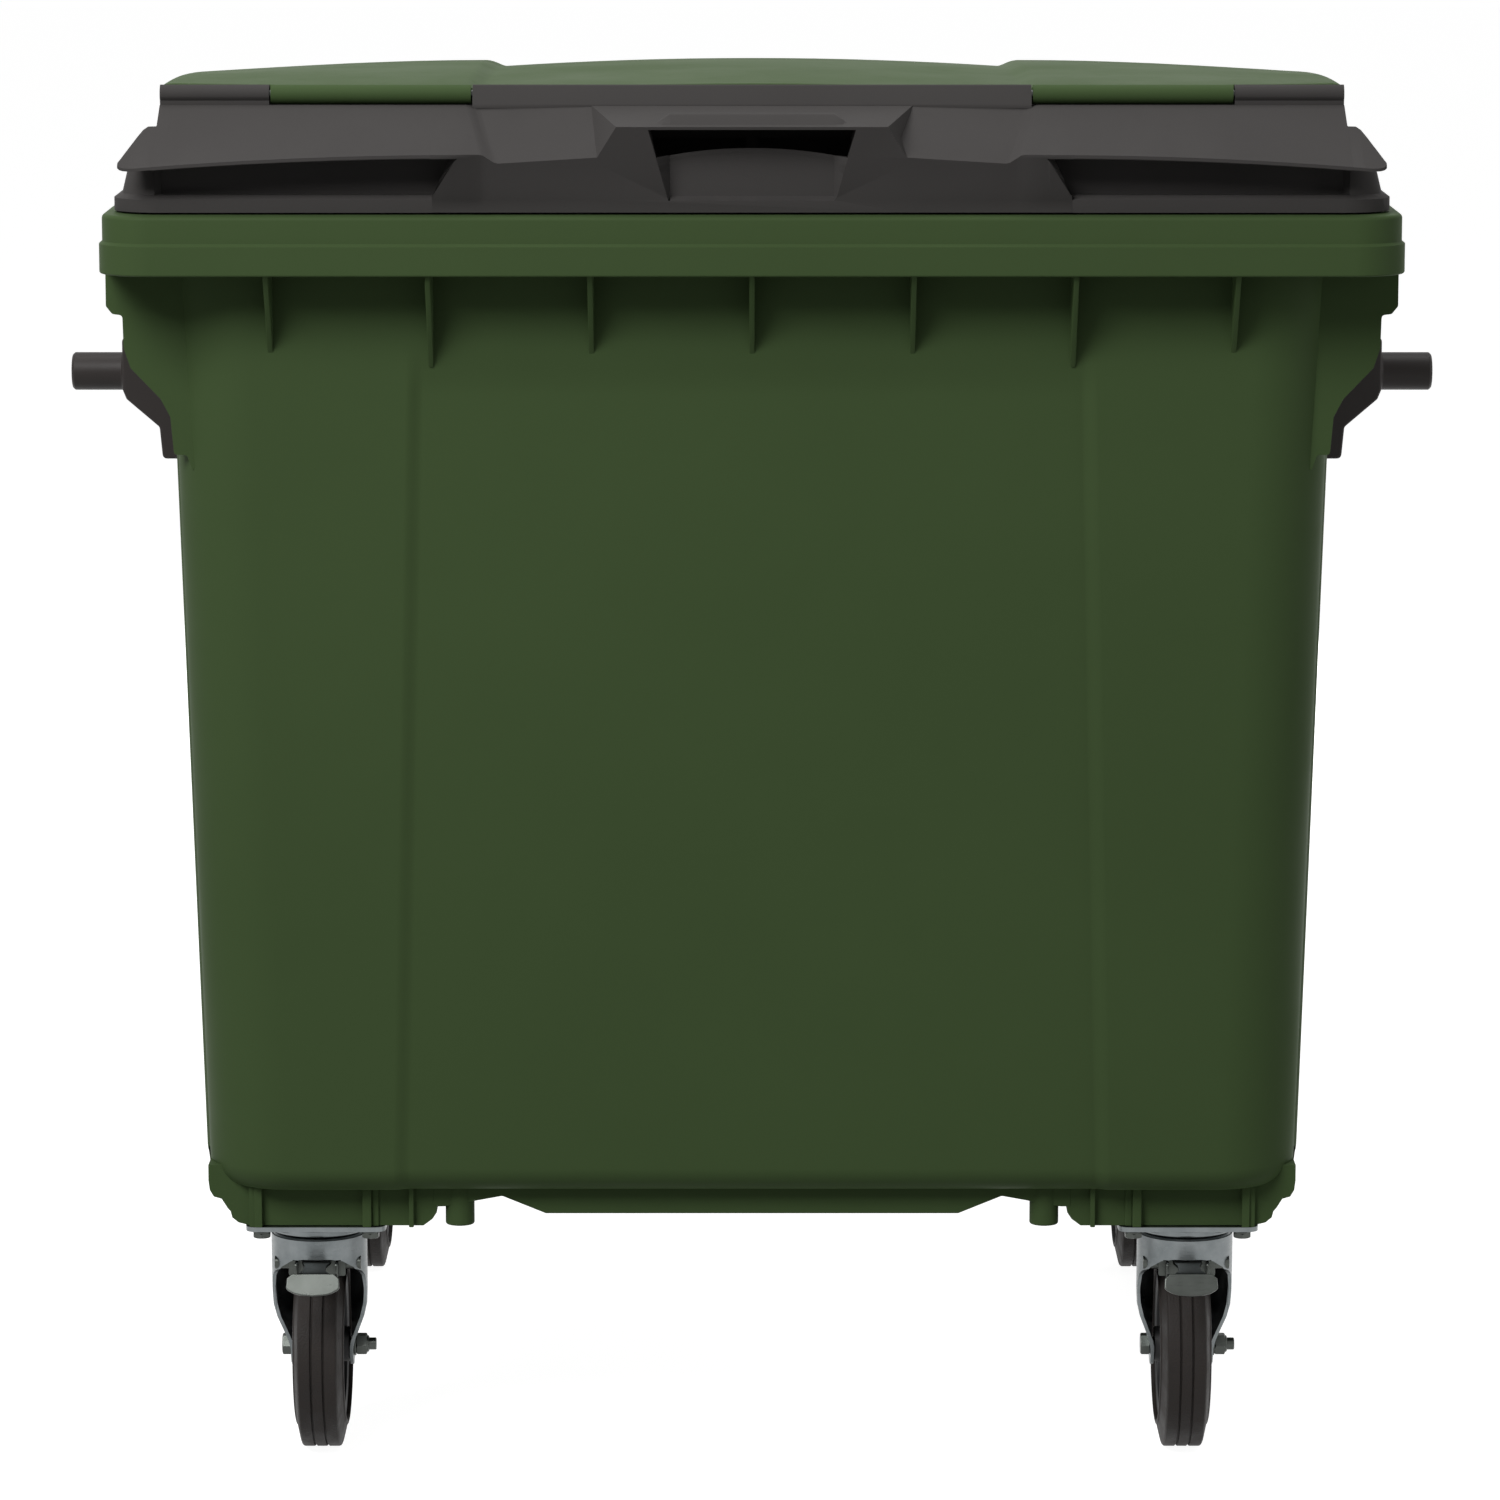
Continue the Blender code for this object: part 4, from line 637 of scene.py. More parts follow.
# %% The Geometry Nodes tree that sets out the ribs
def new_tree(name, inputs):
    """An empty Geometry Nodes tree that takes a piece and the named inputs."""
    tree = bpy.data.node_groups.new(name, 'GeometryNodeTree')
    tree.interface.new_socket("Geometry", in_out='INPUT', socket_type='NodeSocketGeometry')
    tree.interface.new_socket("Geometry", in_out='OUTPUT', socket_type='NodeSocketGeometry')
    for label, kind in inputs.items():
        tree.interface.new_socket(label, in_out='INPUT', socket_type=f"NodeSocket{kind}")
    return tree, tree.nodes.new('NodeGroupInput').outputs


def close_tree(tree, points, piece, finish, placing):
    """Put the piece on every point, make the copies real and give them their finish."""
    place = add(tree, 'GeometryNodeInstanceOnPoints', {"Points": points, "Instance": piece, **placing})
    real = add(tree, 'GeometryNodeRealizeInstances', {"Geometry": place.outputs['Instances']})
    dressed = add(tree, 'GeometryNodeSetMaterial', {"Geometry": real.outputs['Geometry'], "Material": finish})
    add(tree, 'NodeGroupOutput', {"Geometry": dressed.outputs['Geometry']})
    return tree


def set_out_tree():
    """A row along a line. The copies are scaled about the anchor, a point of the piece."""
    tree, given = new_tree("set out along a line", {
        "Count": 'Int', "Anchor": 'Vector', "Step": 'Vector', "First Long": 'Int', "Long Every": 'Int',
        "Long Share": 'Float', "Finish": 'Material'})
    vector = 'ShaderNodeVectorMath'
    away = calculate(tree, 'MULTIPLY', given['Anchor'], (-1.0, -1.0, -1.0), vector)
    home = add(tree, 'GeometryNodeTransform', {"Geometry": given['Geometry'], "Translation": away})
    half = calculate(tree, 'MULTIPLY', calculate(tree, 'SUBTRACT', given['Count'], 1.0), 0.5)
    spread = add(tree, vector, {"Vector": given['Step'], "Scale": half}, operation='SCALE').outputs['Vector']
    line = add(tree, 'GeometryNodeMeshLine', {
        "Count": given['Count'], "Offset": given['Step'],
        "Start Location": calculate(tree, 'SUBTRACT', given['Anchor'], spread, vector)})
    index = add(tree, 'GeometryNodeInputIndex').outputs['Index']
    past = calculate(tree, 'SUBTRACT', index, given['First Long'])
    turn = calculate(tree, 'MODULO', past, given['Long Every'])
    longer = calculate(tree, 'MULTIPLY', calculate(tree, 'COMPARE', turn, 0.0), given['Long Share'])
    scale = add(tree, 'ShaderNodeCombineXYZ', {"X": 1.0, "Y": 1.0, "Z": calculate(tree, 'ADD', longer, 1.0)})
    return close_tree(tree, line.outputs['Mesh'], home.outputs['Geometry'], given['Finish'],
                      {"Scale": scale.outputs['Vector']})


def run_tree(piece, tree, values):
    """Run a Geometry Nodes tree on a piece and keep the result as a plain mesh."""
    step = piece.modifiers.new(tree.name, 'NODES')
    step.node_group = tree
    for item in tree.interface.items_tree:
        if item.in_out == 'INPUT' and item.name in values:
            step[item.identifier] = values[item.name]
    return settle(piece)


line_tree = set_out_tree()

# %% The ribs of the front and the rear
for y_side, place_name in front_rear:
    rib = soften(plate(rib_outline(), rib_thick, across_x(y_side)), rib_round, 2)
    row = run_tree(rib, line_tree, {
        "Count": rib_count, "Anchor": (0.0, 0.0, rim_top), "Step": (rib_pitch, 0.0, 0.0),
        "First Long": 1, "Long Every": 4, "Long Share": rib_long_share, "Finish": green})
    dress(row, f"rim_ribs_{place_name}", "container", green, "green_plastic")
    print(place_name, "ribs", len(row.data.polygons), "faces")

# %% [markdown]
# Under the side rims stepped brackets carry the rim's ends. The outline falls from the band in steps to a
# point on the wall. It is drawn once as shares of the bracket's height and reach, so the corner brackets
# and the ones beside the trunnions can use the same drawing at their own width.

# %% Side brackets and side ribs
post_height = 0.190
post_inset_y = 0.030
post_flush_x = rim_half_x - 0.0008
post_flush_z = rim_foot - 0.0004
post_corner = 0.0035
bracket_half_y = 0.045
rib_side_y = 0.250
post_outline_shares = [
    (1.000, 0.187), (0.925, 0.226), (0.806, 0.232), (0.796, 0.395), (0.717, 0.494),
    (0.365, 0.647), (0.252, 0.737), (0.213, 0.926), (0.060, 0.926),
]


def post(x_side, y, foot_x, head_x):
    tip = rim_foot - post_height
    outline = [(head_x - wall / 2, rib_top), (rib_end_x, rib_top), (rib_end_x, rim_foot),
               (post_flush_x, post_flush_z)]
    for out_share, down_share in post_outline_shares:
        outline.append((foot_x + (post_flush_x - foot_x) * out_share, rim_foot - post_height * down_share))
    outline += [(foot_x, tip), (foot_x - wall / 2, tip)]
    outline = rounded_outline(outline, post_corner, 3)
    return soften(plate(outline, rib_thick, across_y(x_side, y)), rib_round, 2)


def side_rib(x_side, y):
    tip = rim_foot - rib_height
    outline = [(wall_x(rib_top) + bulge - wall / 2, rib_top), (rib_end_x, rib_top), (rib_end_x, rim_foot),
               (wall_x(tip) + bulge, tip), (wall_x(tip) + bulge - wall / 2, tip)]
    return soften(plate(outline, rib_thick, across_y(x_side, y)), rib_round, 2)


for x_side, place_name in left_right:
    tip = rim_foot - post_height
    post_y = wall_y(tip) - post_inset_y
    inner_y = bracket_half_y + fit_gap + rib_thick
    pieces = []
    for y_side in (-1, 1):
        pieces.append(post(x_side, y_side * post_y, corner_x(post_y, tip), corner_x(post_y, rim_top)))
        pieces.append(post(x_side, y_side * inner_y, wall_x(tip) + bulge, wall_x(rim_top) + bulge))
        pieces.append(side_rib(x_side, y_side * rib_side_y))
    row = gather("brackets", pieces)
    dress(shade(row), f"rim_brackets_{place_name}", "container", green, "green_plastic")
    print(place_name, "brackets", len(row.data.polygons), "faces")

# %% [markdown]
# Below the floor sit four blocks that the casters bolt to, with two deep pockets and a narrow one in the
# outer face of each, a cheek that runs up into the rounding of the side wall, an upright between the
# blocks and a short round peg beside each block.

# %% Sizes under the floor
caster_height = 0.240
caster_x = 0.421
caster_y = 0.365
plate_half_x = 0.0675
seat_half_x = 0.0995
seat_shift_x = 0.0175
seat_front = 0.056
seat_back = 0.065
seat_round = 0.013
seat_pocket = 0.008
seat_rib_spans = [(-0.0583, -0.0512, 1.0), (-0.0636, -0.0583, 0.7), (0.0456, 0.0543, 1.0),
                  (0.0543, 0.0612, 0.35), (0.0904, 0.0950, 1.0)]
seat_end = [(0.064, 0.0003), (0.0745, 0.0030), (0.0805, 0.0080), (0.0820, 0.0140), (0.0850, 0.0175),
            (0.0905, 0.0264), (0.0980, 0.0285), (0.1018, 0.0350), (0.1030, 0.0444), (0.1030, 0.0600)]
flare_reach = 0.0240
flare_front = 0.013
flare_outline_shares = [(0.00, 0.40), (0.43, 0.46), (0.82, 0.62), (0.98, 0.94), (1.00, 1.30)]
web_y = front_foot_y - 0.036
web_shares = [(0.970, 0.000), (1.175, 0.660), (1.450, 0.260), (1.500, 0.260)]
peg_radius = 0.014
peg_x = caster_x - 0.139
peg_y = front_foot_y - 0.0445
peg_round = 0.0018


# %% Blocks, cheeks, upright and pegs
def inside_of_tub():
    """A block that fills the foot of the tub up to the middle of its wall."""
    return loft(face_rings(wall / 2)[:foot_steps + 4])


def caster_seat(x_side, y_side):
    inner = caster_x - seat_half_x - seat_shift_x
    top, foot = floor_z + foot_radius, caster_height
    outline = [(inner, top), (inner, foot + seat_round), (inner + seat_round / 3, foot + seat_round / 2),
               (inner + seat_round, foot)]
    outline += [(caster_x + out, foot + up) for out, up in seat_end]
    middle = y_side * (caster_y + (seat_front - seat_pocket - seat_back) / 2)
    block = plate(outline, seat_front - seat_pocket + seat_back, across_y(x_side, middle))
    pieces = [cut(block, inside_of_tub())]
    face = caster_y + seat_front - seat_pocket
    for start, end, proud in seat_rib_spans:
        xs = sorted(x_side * (caster_x - at) for at in (start, end))
        ys = sorted((y_side * (face - overrun), y_side * (face + seat_pocket * proud)))
        pieces.append(cut(box((xs[0], ys[0], foot), (xs[1], ys[1], top)), inside_of_tub()))
    return gather("seat", [soften(piece, rib_round, 2) for piece in pieces])


def seat_flare(x_side, y_side):
    outer = caster_x + seat_half_x - seat_shift_x
    rise = floor_z - caster_height
    outline = [(outer - seat_round, caster_height + rise * flare_outline_shares[0][1])]
    outline += [(outer + flare_reach * a, caster_height + rise * b) for a, b in flare_outline_shares]
    radius = foot_radius - wall / 2
    for sine, cosine in arc(6):
        z = floor_z + foot_radius - radius * sine
        outline.append((wall_x(z) + bulge - foot_radius + radius * cosine, z))
    outline.append((outer - seat_round, floor_z + wall / 2))
    back = seat_back - overrun
    middle = y_side * (caster_y - (back + flare_front) / 2)
    cheek = plate(outline, back - flare_front, across_y(x_side, middle))
    return soften(cut(cheek, inside_of_tub()), block_round, 2)


def under_web(y_side):
    low, top = floor_z - pan_depth, floor_z + wall / 2
    half = [(pan_half_x * across, low + (floor_z - low) * up) for across, up in web_shares]
    outline = half + [(half[-1][0], top)]
    outline += [(-across, up) for across, up in reversed(outline)]
    return soften(plate(outline, rib_thick, across_y(1, y_side * web_y)), block_round, 2)


def peg(x_side, y_side):
    spot = (x_side * peg_x, y_side * peg_y)
    return soften(rod(peg_radius, (*spot, caster_height), (*spot, floor_z + wall / 2), 32), peg_round)


pieces = [under_web(-1), under_web(1)]
for x_side, y_side in four_corners:
    pieces += [caster_seat(x_side, y_side), seat_flare(x_side, y_side), peg(x_side, y_side)]
base = dress(shade(gather("base", pieces)), "under_floor_frame", "container", green, "green_plastic")
print("under the floor", len(base.data.polygons), "faces")

# %% [markdown]
# The lid frame turns on two pins at the rear rim. Each pin goes through two ears on the tub with a round
# knuckle of the lid between them.

# %% Hinge ears on the tub
skirt_half_x = rim_half_x - 0.013
skirt_half_y = rim_half_y - 0.025
lid_axis_y = skirt_half_y + 0.0015
lid_axis_z = rim_top + 0.030
lid_hinge_x = 0.350
lid_knuckle_half = 0.045
lid_knuckle_radius = 0.0105
lug_thick = 0.010
lug_radius = 0.0125
lid_pin_radius = 0.005


def hinge_ear(x):
    foot = rim_top - wall / 2
    outline = [(lid_axis_y - lug_radius, foot), (lid_axis_y + lug_radius, foot)]
    for sine, cosine in arc(16, 0.0, math.pi):
        outline.append((lid_axis_y + lug_radius * cosine, lid_axis_z + lug_radius * sine))
    ear = plate(outline, lug_thick, across_x(1, x))
    cut(ear, rod(lid_pin_radius + hair, (x - lug_thick, lid_axis_y, lid_axis_z),
                 (x + lug_thick, lid_axis_y, lid_axis_z), 24))
    return soften(ear, block_round, 2)


ear_offset = lid_knuckle_half + fit_gap + lug_thick / 2
ears = [hinge_ear(x_side * lid_hinge_x + k * ear_offset) for x_side in (-1, 1) for k in (-1, 1)]
dress(shade(gather("ears", ears)), "hinge_ears", "container", green, "green_plastic")

# %% [markdown]
# The black lid frame is the piece that the eye goes to. It is a hoop round the opening with a deep beam
# along its front. The beam slopes towards the viewer and overhangs its own face as two wings, with a hand
# space under each and a third one in the middle. The full beam is built first, with both wings and the
# raised middle, and the three hand spaces are cut from it afterwards. That gives each space a clean edge.

# %% Sizes of the lid frame
lid_wall = 0.005
skirt_foot = rim_top + hair
skirt_head = skirt_foot + 0.0135
skirt_gap = 0.0016
shoulder_z = skirt_head + 0.004
shoulder_in = 0.0075
frame_wall_up = 0.0225
frame_wall_in = 0.0055
skirt_corner = 0.045
opening_half_x = skirt_half_x - 0.067
opening_half_y = skirt_half_y - 0.110
opening_corner = 0.030
opening_lip = 0.030
land_z = skirt_foot + 0.0857
land_fall = 0.040
land_width = 0.0262
wing_front_y = skirt_half_y + 0.025
wing_edge_z = skirt_foot + 0.0567
wing_skin = 0.004
wing_lip = 0.003
wing_droop = 0.0138
wing_droop_start = 0.270
wing_half_x = skirt_half_x - 0.008
slope_half_x = skirt_half_x - 0.0405
slope_depth = 0.100
beam_top = wing_edge_z + 0.0395
beam_back = wing_front_y - 0.1185
slope_back = wing_front_y - slope_depth
wing_tip_back = 0.066
wing_tip_shares = [(-0.35, 1.00, 0.00), (0.00, 1.00, 0.00), (0.24, 1.00, 0.00), (0.37, 0.92, 0.00),
                   (0.52, 0.74, 0.00), (0.65, 0.57, 0.01), (0.80, 0.38, 0.03), (0.90, 0.25, 0.06),
                   (0.97, 0.17, 0.11)]


# %% The hoop round the opening
def lid_ring(z, inset, half_y, radius):
    return ring(z, skirt_half_x - inset, half_y, radius, 0.0, dent_head_half)


def land_at(y):
    """Height of the land that the inner lid rests on, which falls towards the rear."""
    return land_z - land_fall * (y + opening_half_y) / (opening_half_y * 2)


def lip_ring(drop, grow):
    flat = lid_ring(0.0, skirt_half_x - opening_half_x - grow, opening_half_y + grow,
                    opening_corner + grow / 4)
    return [Vector((spot.x, spot.y, land_at(spot.y) - drop)) for spot in flat]


def side_ring(z, inset):
    return lid_ring(z, inset, skirt_half_y - inset, skirt_corner - inset)


wall_top = shoulder_z + frame_wall_up
wall_inset = shoulder_in + frame_wall_in
below = lid_wall / 2
lid = loft([
    lip_ring(opening_lip, 0.0), lip_ring(0.0, 0.0), lip_ring(0.0, land_width),
    side_ring(wall_top, wall_inset), side_ring(shoulder_z, shoulder_in), side_ring(skirt_head, 0.0),
    side_ring(skirt_foot + skirt_gap, 0.0), side_ring(skirt_foot + skirt_gap, lid_wall),
    side_ring(skirt_head - below, lid_wall), side_ring(shoulder_z - below, shoulder_in + lid_wall),
    side_ring(wall_top - below, wall_inset + lid_wall), lip_ring(lid_wall, land_width - below),
    lip_ring(lid_wall, lid_wall), lip_ring(opening_lip, lid_wall)], hoop=True)


# %% The front beam and its wings
def wing_z(x):
    """Height of the wings' front edge, which falls towards the ends."""
    past = max(0.0, abs(x) - wing_droop_start) / (wing_half_x - wing_droop_start)
    return wing_edge_z - wing_droop * past ** 2


def slope_z(x, y):
    share = (y - slope_back) / slope_depth
    return beam_top - share * (beam_top - wing_z(x))


def beam_section(x):
    """A cross-section of the beam out at the wings."""
    foot_y, lip_z = skirt_half_y - shoulder_in, wing_z(x) - wing_lip
    rest = 1 - face_bend
    return slice_at(x, [
        (foot_y, shoulder_z),
        (foot_y * rest + wing_front_y * face_bend, shoulder_z * rest + lip_z * face_bend),
        (wing_front_y, lip_z), (wing_front_y, wing_z(x)), (slope_back, beam_top), (beam_back, beam_top),
        (beam_back, shoulder_z)])


def panel_y(z):
    """Depth of the front panel: upright over the skirt, then leaning out as far as the boss."""
    leaning = max(0.0, z - skirt_head) / (boss_front_z - skirt_head)
    return skirt_half_y + panel_proud + (wing_front_y - skirt_half_y) * leaning


def panel_section(front_x, back_x, front_drop, back_drop, wing_share):
    """A cross-section of the beam's middle, whose slope lies a little lower than the wings'."""
    edge = wing_edge_z - front_drop
    foot = skirt_foot + skirt_gap + panel_proud
    edge_y, lip_y = (panel_y(z) + (wing_front_y - panel_y(z)) * wing_share for z in (edge, edge - wing_lip))
    front = [(panel_y(foot), foot), (panel_y(skirt_head), skirt_head), (lip_y, edge - wing_lip),
             (edge_y, edge)]
    back = [(slope_back, beam_top - back_drop), (beam_back, beam_top), (beam_back, shoulder_z)]
    return slice_at(front_x, front) + slice_at(back_x, back)


def wing_tip(x_side):
    """The rounded outer end of a wing."""
    sections = []
    for out_share, back_share, front_share in wing_tip_shares:
        x = slope_half_x + (wing_half_x - slope_half_x) * out_share
        front = wing_front_y - sunk - wing_tip_back * front_share
        back = wing_front_y - wing_tip_back * back_share
        sections.append(slice_at(x_side * x, [
            (front, slope_z(x, front) - wing_lip), (front, slope_z(x, front) - sunk),
            (back, slope_z(x, back) - sunk), (back, slope_z(x, back) - wing_skin)]))
    return loft(sections)


beam_steps = 9
face_bend = 0.1
panel_proud = 0.0003
panel_half_out = 0.2965
boss_front_z = skirt_foot + 0.0824
fold_spots = [
    (0.2960, 0.2960, 0.0, 0.0, 1.0), (0.2750, 0.2820, 0.0, 0.0, 1.0),
    (0.2620, 0.2740, 0.0, 0.0, 0.6), (0.2520, 0.2680, 0.0003, 0.0, 0.2),
    (0.2480, 0.2650, 0.0012, 0.0004, 0.0), (0.2430, 0.2615, 0.0046, 0.0014, 0.0),
    (0.2380, 0.2575, 0.0078, 0.0024, 0.0), (0.2340, 0.2540, 0.0088, 0.0026, 0.0),
    (0.1427, 0.1550, 0.0030, 0.0004, 0.0)]
droop_xs = [panel_half_out + (slope_half_x - panel_half_out) * k / beam_steps for k in range(beam_steps + 1)]
half_beam = [panel_section(*spot) for spot in reversed(fold_spots)] + [beam_section(x) for x in droop_xs]
other_half = [[Vector((-spot.x, spot.y, spot.z)) for spot in section] for section in reversed(half_beam)]
beam = loft(other_half + half_beam)

# %% The raised middle of the beam and the ridge along its top
boss_half_top = 0.1250
boss_half_foot = 0.1469
boss_half_back = 0.1500
boss_foot_z = skirt_foot + 0.0472
ridge_half = 0.0755
ridge_end = 0.0165
ridge_spots = [(0.5265, 0.0002), (0.5175, 0.0094), (0.5155, 0.0108), (0.5120, 0.0114), (0.4780, 0.0092)]
ridge_fall = [(1.0, 0.05), (0.55, 0.45), (0.0, 1.0)]


def boss():
    """A block whose front is part of the leaning panel and whose flanks widen to the back."""
    def face(half_foot, half_top, low, top):
        return [(-half_foot, low), (-half_top, top), (half_top, top), (half_foot, low)]

    front = face(boss_half_foot, boss_half_top, boss_foot_z, boss_front_z)
    back = face(boss_half_back + overrun, boss_half_back, wing_edge_z, beam_top - sunk)
    return loft([[Vector((x, -panel_y(z), z)) for x, z in front],
                 [Vector((x, -slope_back - overrun / 6, z)) for x, z in back]])


def ridge():
    """The ridge, which falls away at both ends."""
    def section(x, grown):
        foot = boss_front_z - overrun
        return slice_at(x, [(ridge_spots[0][0], foot)]
                        + [(y, boss_front_z + up * grown) for y, up in ridge_spots]
                        + [(ridge_spots[-1][0], foot)])

    half = [(ridge_half + ridge_end * out, grown) for out, grown in ridge_fall]
    return loft([section(-x, grown) for x, grown in half] + [section(*spot) for spot in reversed(half)])


fuse(beam, boss(), ridge(), wing_tip(-1), wing_tip(1))
fuse(lid, beam)

# %% The hand spaces
side_pocket_in_top = 0.2714
side_pocket_in_foot = 0.2950
side_pocket_out_front = wing_half_x - 0.010
side_pocket_out_back = slope_half_x - 0.0085
side_pocket_back = wing_front_y - 0.043
pocket_floor_up = 0.0004
grip_half_top = 0.0957
grip_half_foot = 0.0775
grip_top_z = skirt_foot + 0.0797
grip_foot_z = skirt_foot + 0.0127
grip_back = wing_front_y - 0.085
grip_lip_y = wing_front_y - 0.029
grip_lip_z = skirt_foot + 0.0532
grip_lip_arch = 0.008
grip_lip_band = 0.0026
grip_ledge_y = skirt_half_y - 0.007
grip_ledge_up = 0.0040
grip_lip_thick = 0.003
grip_lip_slant = 0.001
hill_half = 0.076
hill_edge_share = 0.92
hill_steps = 6
hill_shares = [(0.0, 0.0), (0.05, 0.22), (0.12, 0.42), (0.22, 0.60), (0.36, 0.76), (0.54, 0.89), (0.76, 0.97),
               (1.0, 1.0)]
trench_wall = 0.006
pocket_steps = 8


def side_pocket(x_side):
    """A side hand space: it follows the wing's underside and opens outwards."""
    floor = shoulder_z + pocket_floor_up
    front, rear = wing_front_y + overrun * 2, side_pocket_back

    def section(front_foot, front_top, back_foot, back_top):
        return [Vector((x_side * x, -y, z)) for x, y, z in (
            (front_foot, front, floor), (front_top, front, slope_z(front_top, front) - wing_skin),
            (back_top, rear, slope_z(back_top, rear) - wing_skin), (back_foot, rear, floor))]

    foot, top, back = side_pocket_in_foot, side_pocket_in_top, side_pocket_out_back
    between = [foot + (back - foot) * k / pocket_steps for k in range(1, pocket_steps + 1)]
    return loft([section(foot, top, foot, top)] + [section(x, x, x, x) for x in between]
                + [section(side_pocket_out_front, side_pocket_out_front, back + overrun, back + overrun)])


def edge_half(z):
    """Half width of the middle hand space's mouth at a height."""
    up = (z - grip_foot_z) / (grip_top_z - grip_foot_z)
    return grip_half_foot + (grip_half_top - grip_half_foot) * up


def grip_pocket():
    """The middle hand space: a rounded hill whose arched lip has a dark hollow behind it."""
    front = wing_front_y + overrun * 2

    def section(share):
        at_edge = abs(share) == 1
        lip = grip_lip_z + grip_lip_arch * (1 - share ** 2)
        low, high = grip_foot_z + grip_ledge_up, lip - grip_lip_band
        depths = [(front, grip_foot_z), (skirt_half_y + panel_proud, grip_foot_z)]
        for away, up in hill_shares:
            z = low + (high - low) * up
            inner = grip_ledge_y + (grip_lip_y - grip_ledge_y) * away
            depths.append((panel_y(z) if at_edge else inner, z))
        under = grip_lip_y - grip_lip_thick
        depths += [(panel_y(lip) if at_edge else grip_lip_y, lip), (under, lip),
                   (under - grip_lip_slant, lip - wing_skin), (grip_back, lip - wing_skin),
                   (grip_back, grip_top_z - wing_skin), (grip_back + overrun, grip_top_z),
                   (front, grip_top_z)]
        inside = hill_half * share / hill_edge_share
        return [Vector((math.copysign(edge_half(z), share) if at_edge else inside, -y, z)) for y, z in depths]

    shares = [hill_edge_share * k / hill_steps for k in range(-hill_steps, hill_steps + 1)]
    return loft([section(share) for share in [-1.0] + shares + [1.0]])


def trench(x_side):
    """The hollow under the slope behind a side hand space."""
    front_top = slope_z(0.0, side_pocket_back) - wing_skin - trench_wall / 2
    front, back = side_pocket_back - trench_wall, beam_back + trench_wall
    foot = shoulder_z - lid_wall - overrun
    corners = [(front, foot), (front, front_top), (back, min(beam_top - trench_wall, front_top)),
               (back, foot)]
    return loft([slice_at(x_side * x, corners) for x in (trench_wall, slope_half_x - lid_wall - trench_wall)])


cut(lid, side_pocket(-1), side_pocket(1), grip_pocket(), trench(-1), trench(1))
print("lid frame before its hinges", len(lid.data.polygons), "faces")

# %% [markdown]
# Along the top of the slope runs the hinge of the inner lid: two green knuckles between black ones, and a
# cover bar over the middle. The foot of a black end knuckle is narrower than its barrel, so that a dark
# line sets it off from the slope.

# %% The hinge line of the inner lid
hinge_radius = 0.009
hinge_pin_radius = 0.004
hinge_y = slope_back - 0.010
hinge_z = beam_top + 0.0007 + hinge_radius
end_knuckle_in = slope_half_x - 0.1021
knuckle_out = end_knuckle_in - 0.0015
knuckle_in = knuckle_out - 0.1872
cheek_out = knuckle_in - 0.0015
pin_start = cheek_out - 0.0592
pin_end = end_knuckle_in + 0.018
bar_front = 0.012
bar_edge = 0.004
bar_lean = 0.0085
knuckle_foot = hinge_radius * 0.72
knuckle_waist = hinge_radius * 0.62
lid_round = 0.0011


def saddle(x_from, x_to):
    """A black end knuckle with its foot."""
    low = beam_top - overrun
    outline = [(hinge_y - hinge_radius, low), (hinge_y + knuckle_foot, low),
               (hinge_y + knuckle_foot, hinge_z - knuckle_waist)]
    for sine, cosine in arc(18, -0.35, math.pi):
        outline.append((hinge_y + hinge_radius * cosine, hinge_z + hinge_radius * sine))
    return plate(outline, abs(x_to - x_from), across_x(-1, (x_from + x_to) / 2))


def cover_bar():
    low, front, top = beam_top - overrun, hinge_y + bar_front, hinge_z + hinge_radius
    outline = [(front, low), (front, beam_top + bar_edge / 4), (front - bar_lean, top - bar_edge * 0.3),
               (front - bar_lean - bar_edge / 2, top), (hinge_y, top), (hinge_y - hinge_radius, hinge_z),
               (hinge_y - hinge_radius, low)]
    return plate(outline, cheek_out * 2, across_x(-1))


def lug_notches():
    half = lid_knuckle_half + lug_thick + overrun
    near, far = lid_axis_y - lug_radius - overrun, skirt_half_y + overrun
    high = lid_axis_z + lug_radius + overrun
    return [box((x_side * lid_hinge_x - half, near, skirt_foot - overrun),
                (x_side * lid_hinge_x + half, far, high)) for x_side in (-1, 1)]


def lid_knuckle(x_side):
    low_x, high_x = x_side * lid_hinge_x - lid_knuckle_half, x_side * lid_hinge_x + lid_knuckle_half
    near = skirt_half_y - shoulder_in - frame_wall_in - lid_wall * 3
    half = lid_pin_radius + lid_wall / 2
    barrel = rod(lid_knuckle_radius, (low_x, lid_axis_y, lid_axis_z), (high_x, lid_axis_y, lid_axis_z))
    arm = box((low_x + lid_wall, near, lid_axis_z - half), (high_x - lid_wall, lid_axis_y, lid_axis_z + half))
    return [soften(barrel, rib_round, 2), soften(arm, rib_round, 2)]


fuse(lid, cover_bar(), saddle(slope_half_x, end_knuckle_in), saddle(-end_knuckle_in, -slope_half_x))
cut(lid, *lug_notches())
soften(lid, lid_round, 2, 34)
knuckles = lid_knuckle(-1) + lid_knuckle(1)
dress(lid, "lid_frame", "lid", black, "black_plastic", "main_lid")
dress(shade(gather("knuckles", knuckles)), "lid_frame_knuckles", "lid", black, "black_plastic")
print("lid frame", len(lid.data.polygons), "faces")

# %% [markdown]
# The green inner lid is a crowned skin. Its two side fields stand a little higher than the middle, which
# is a low dome, and a short slope joins them. A grid whose height comes from one formula gives exactly
# that, and its edges turn down to rest on the frame.

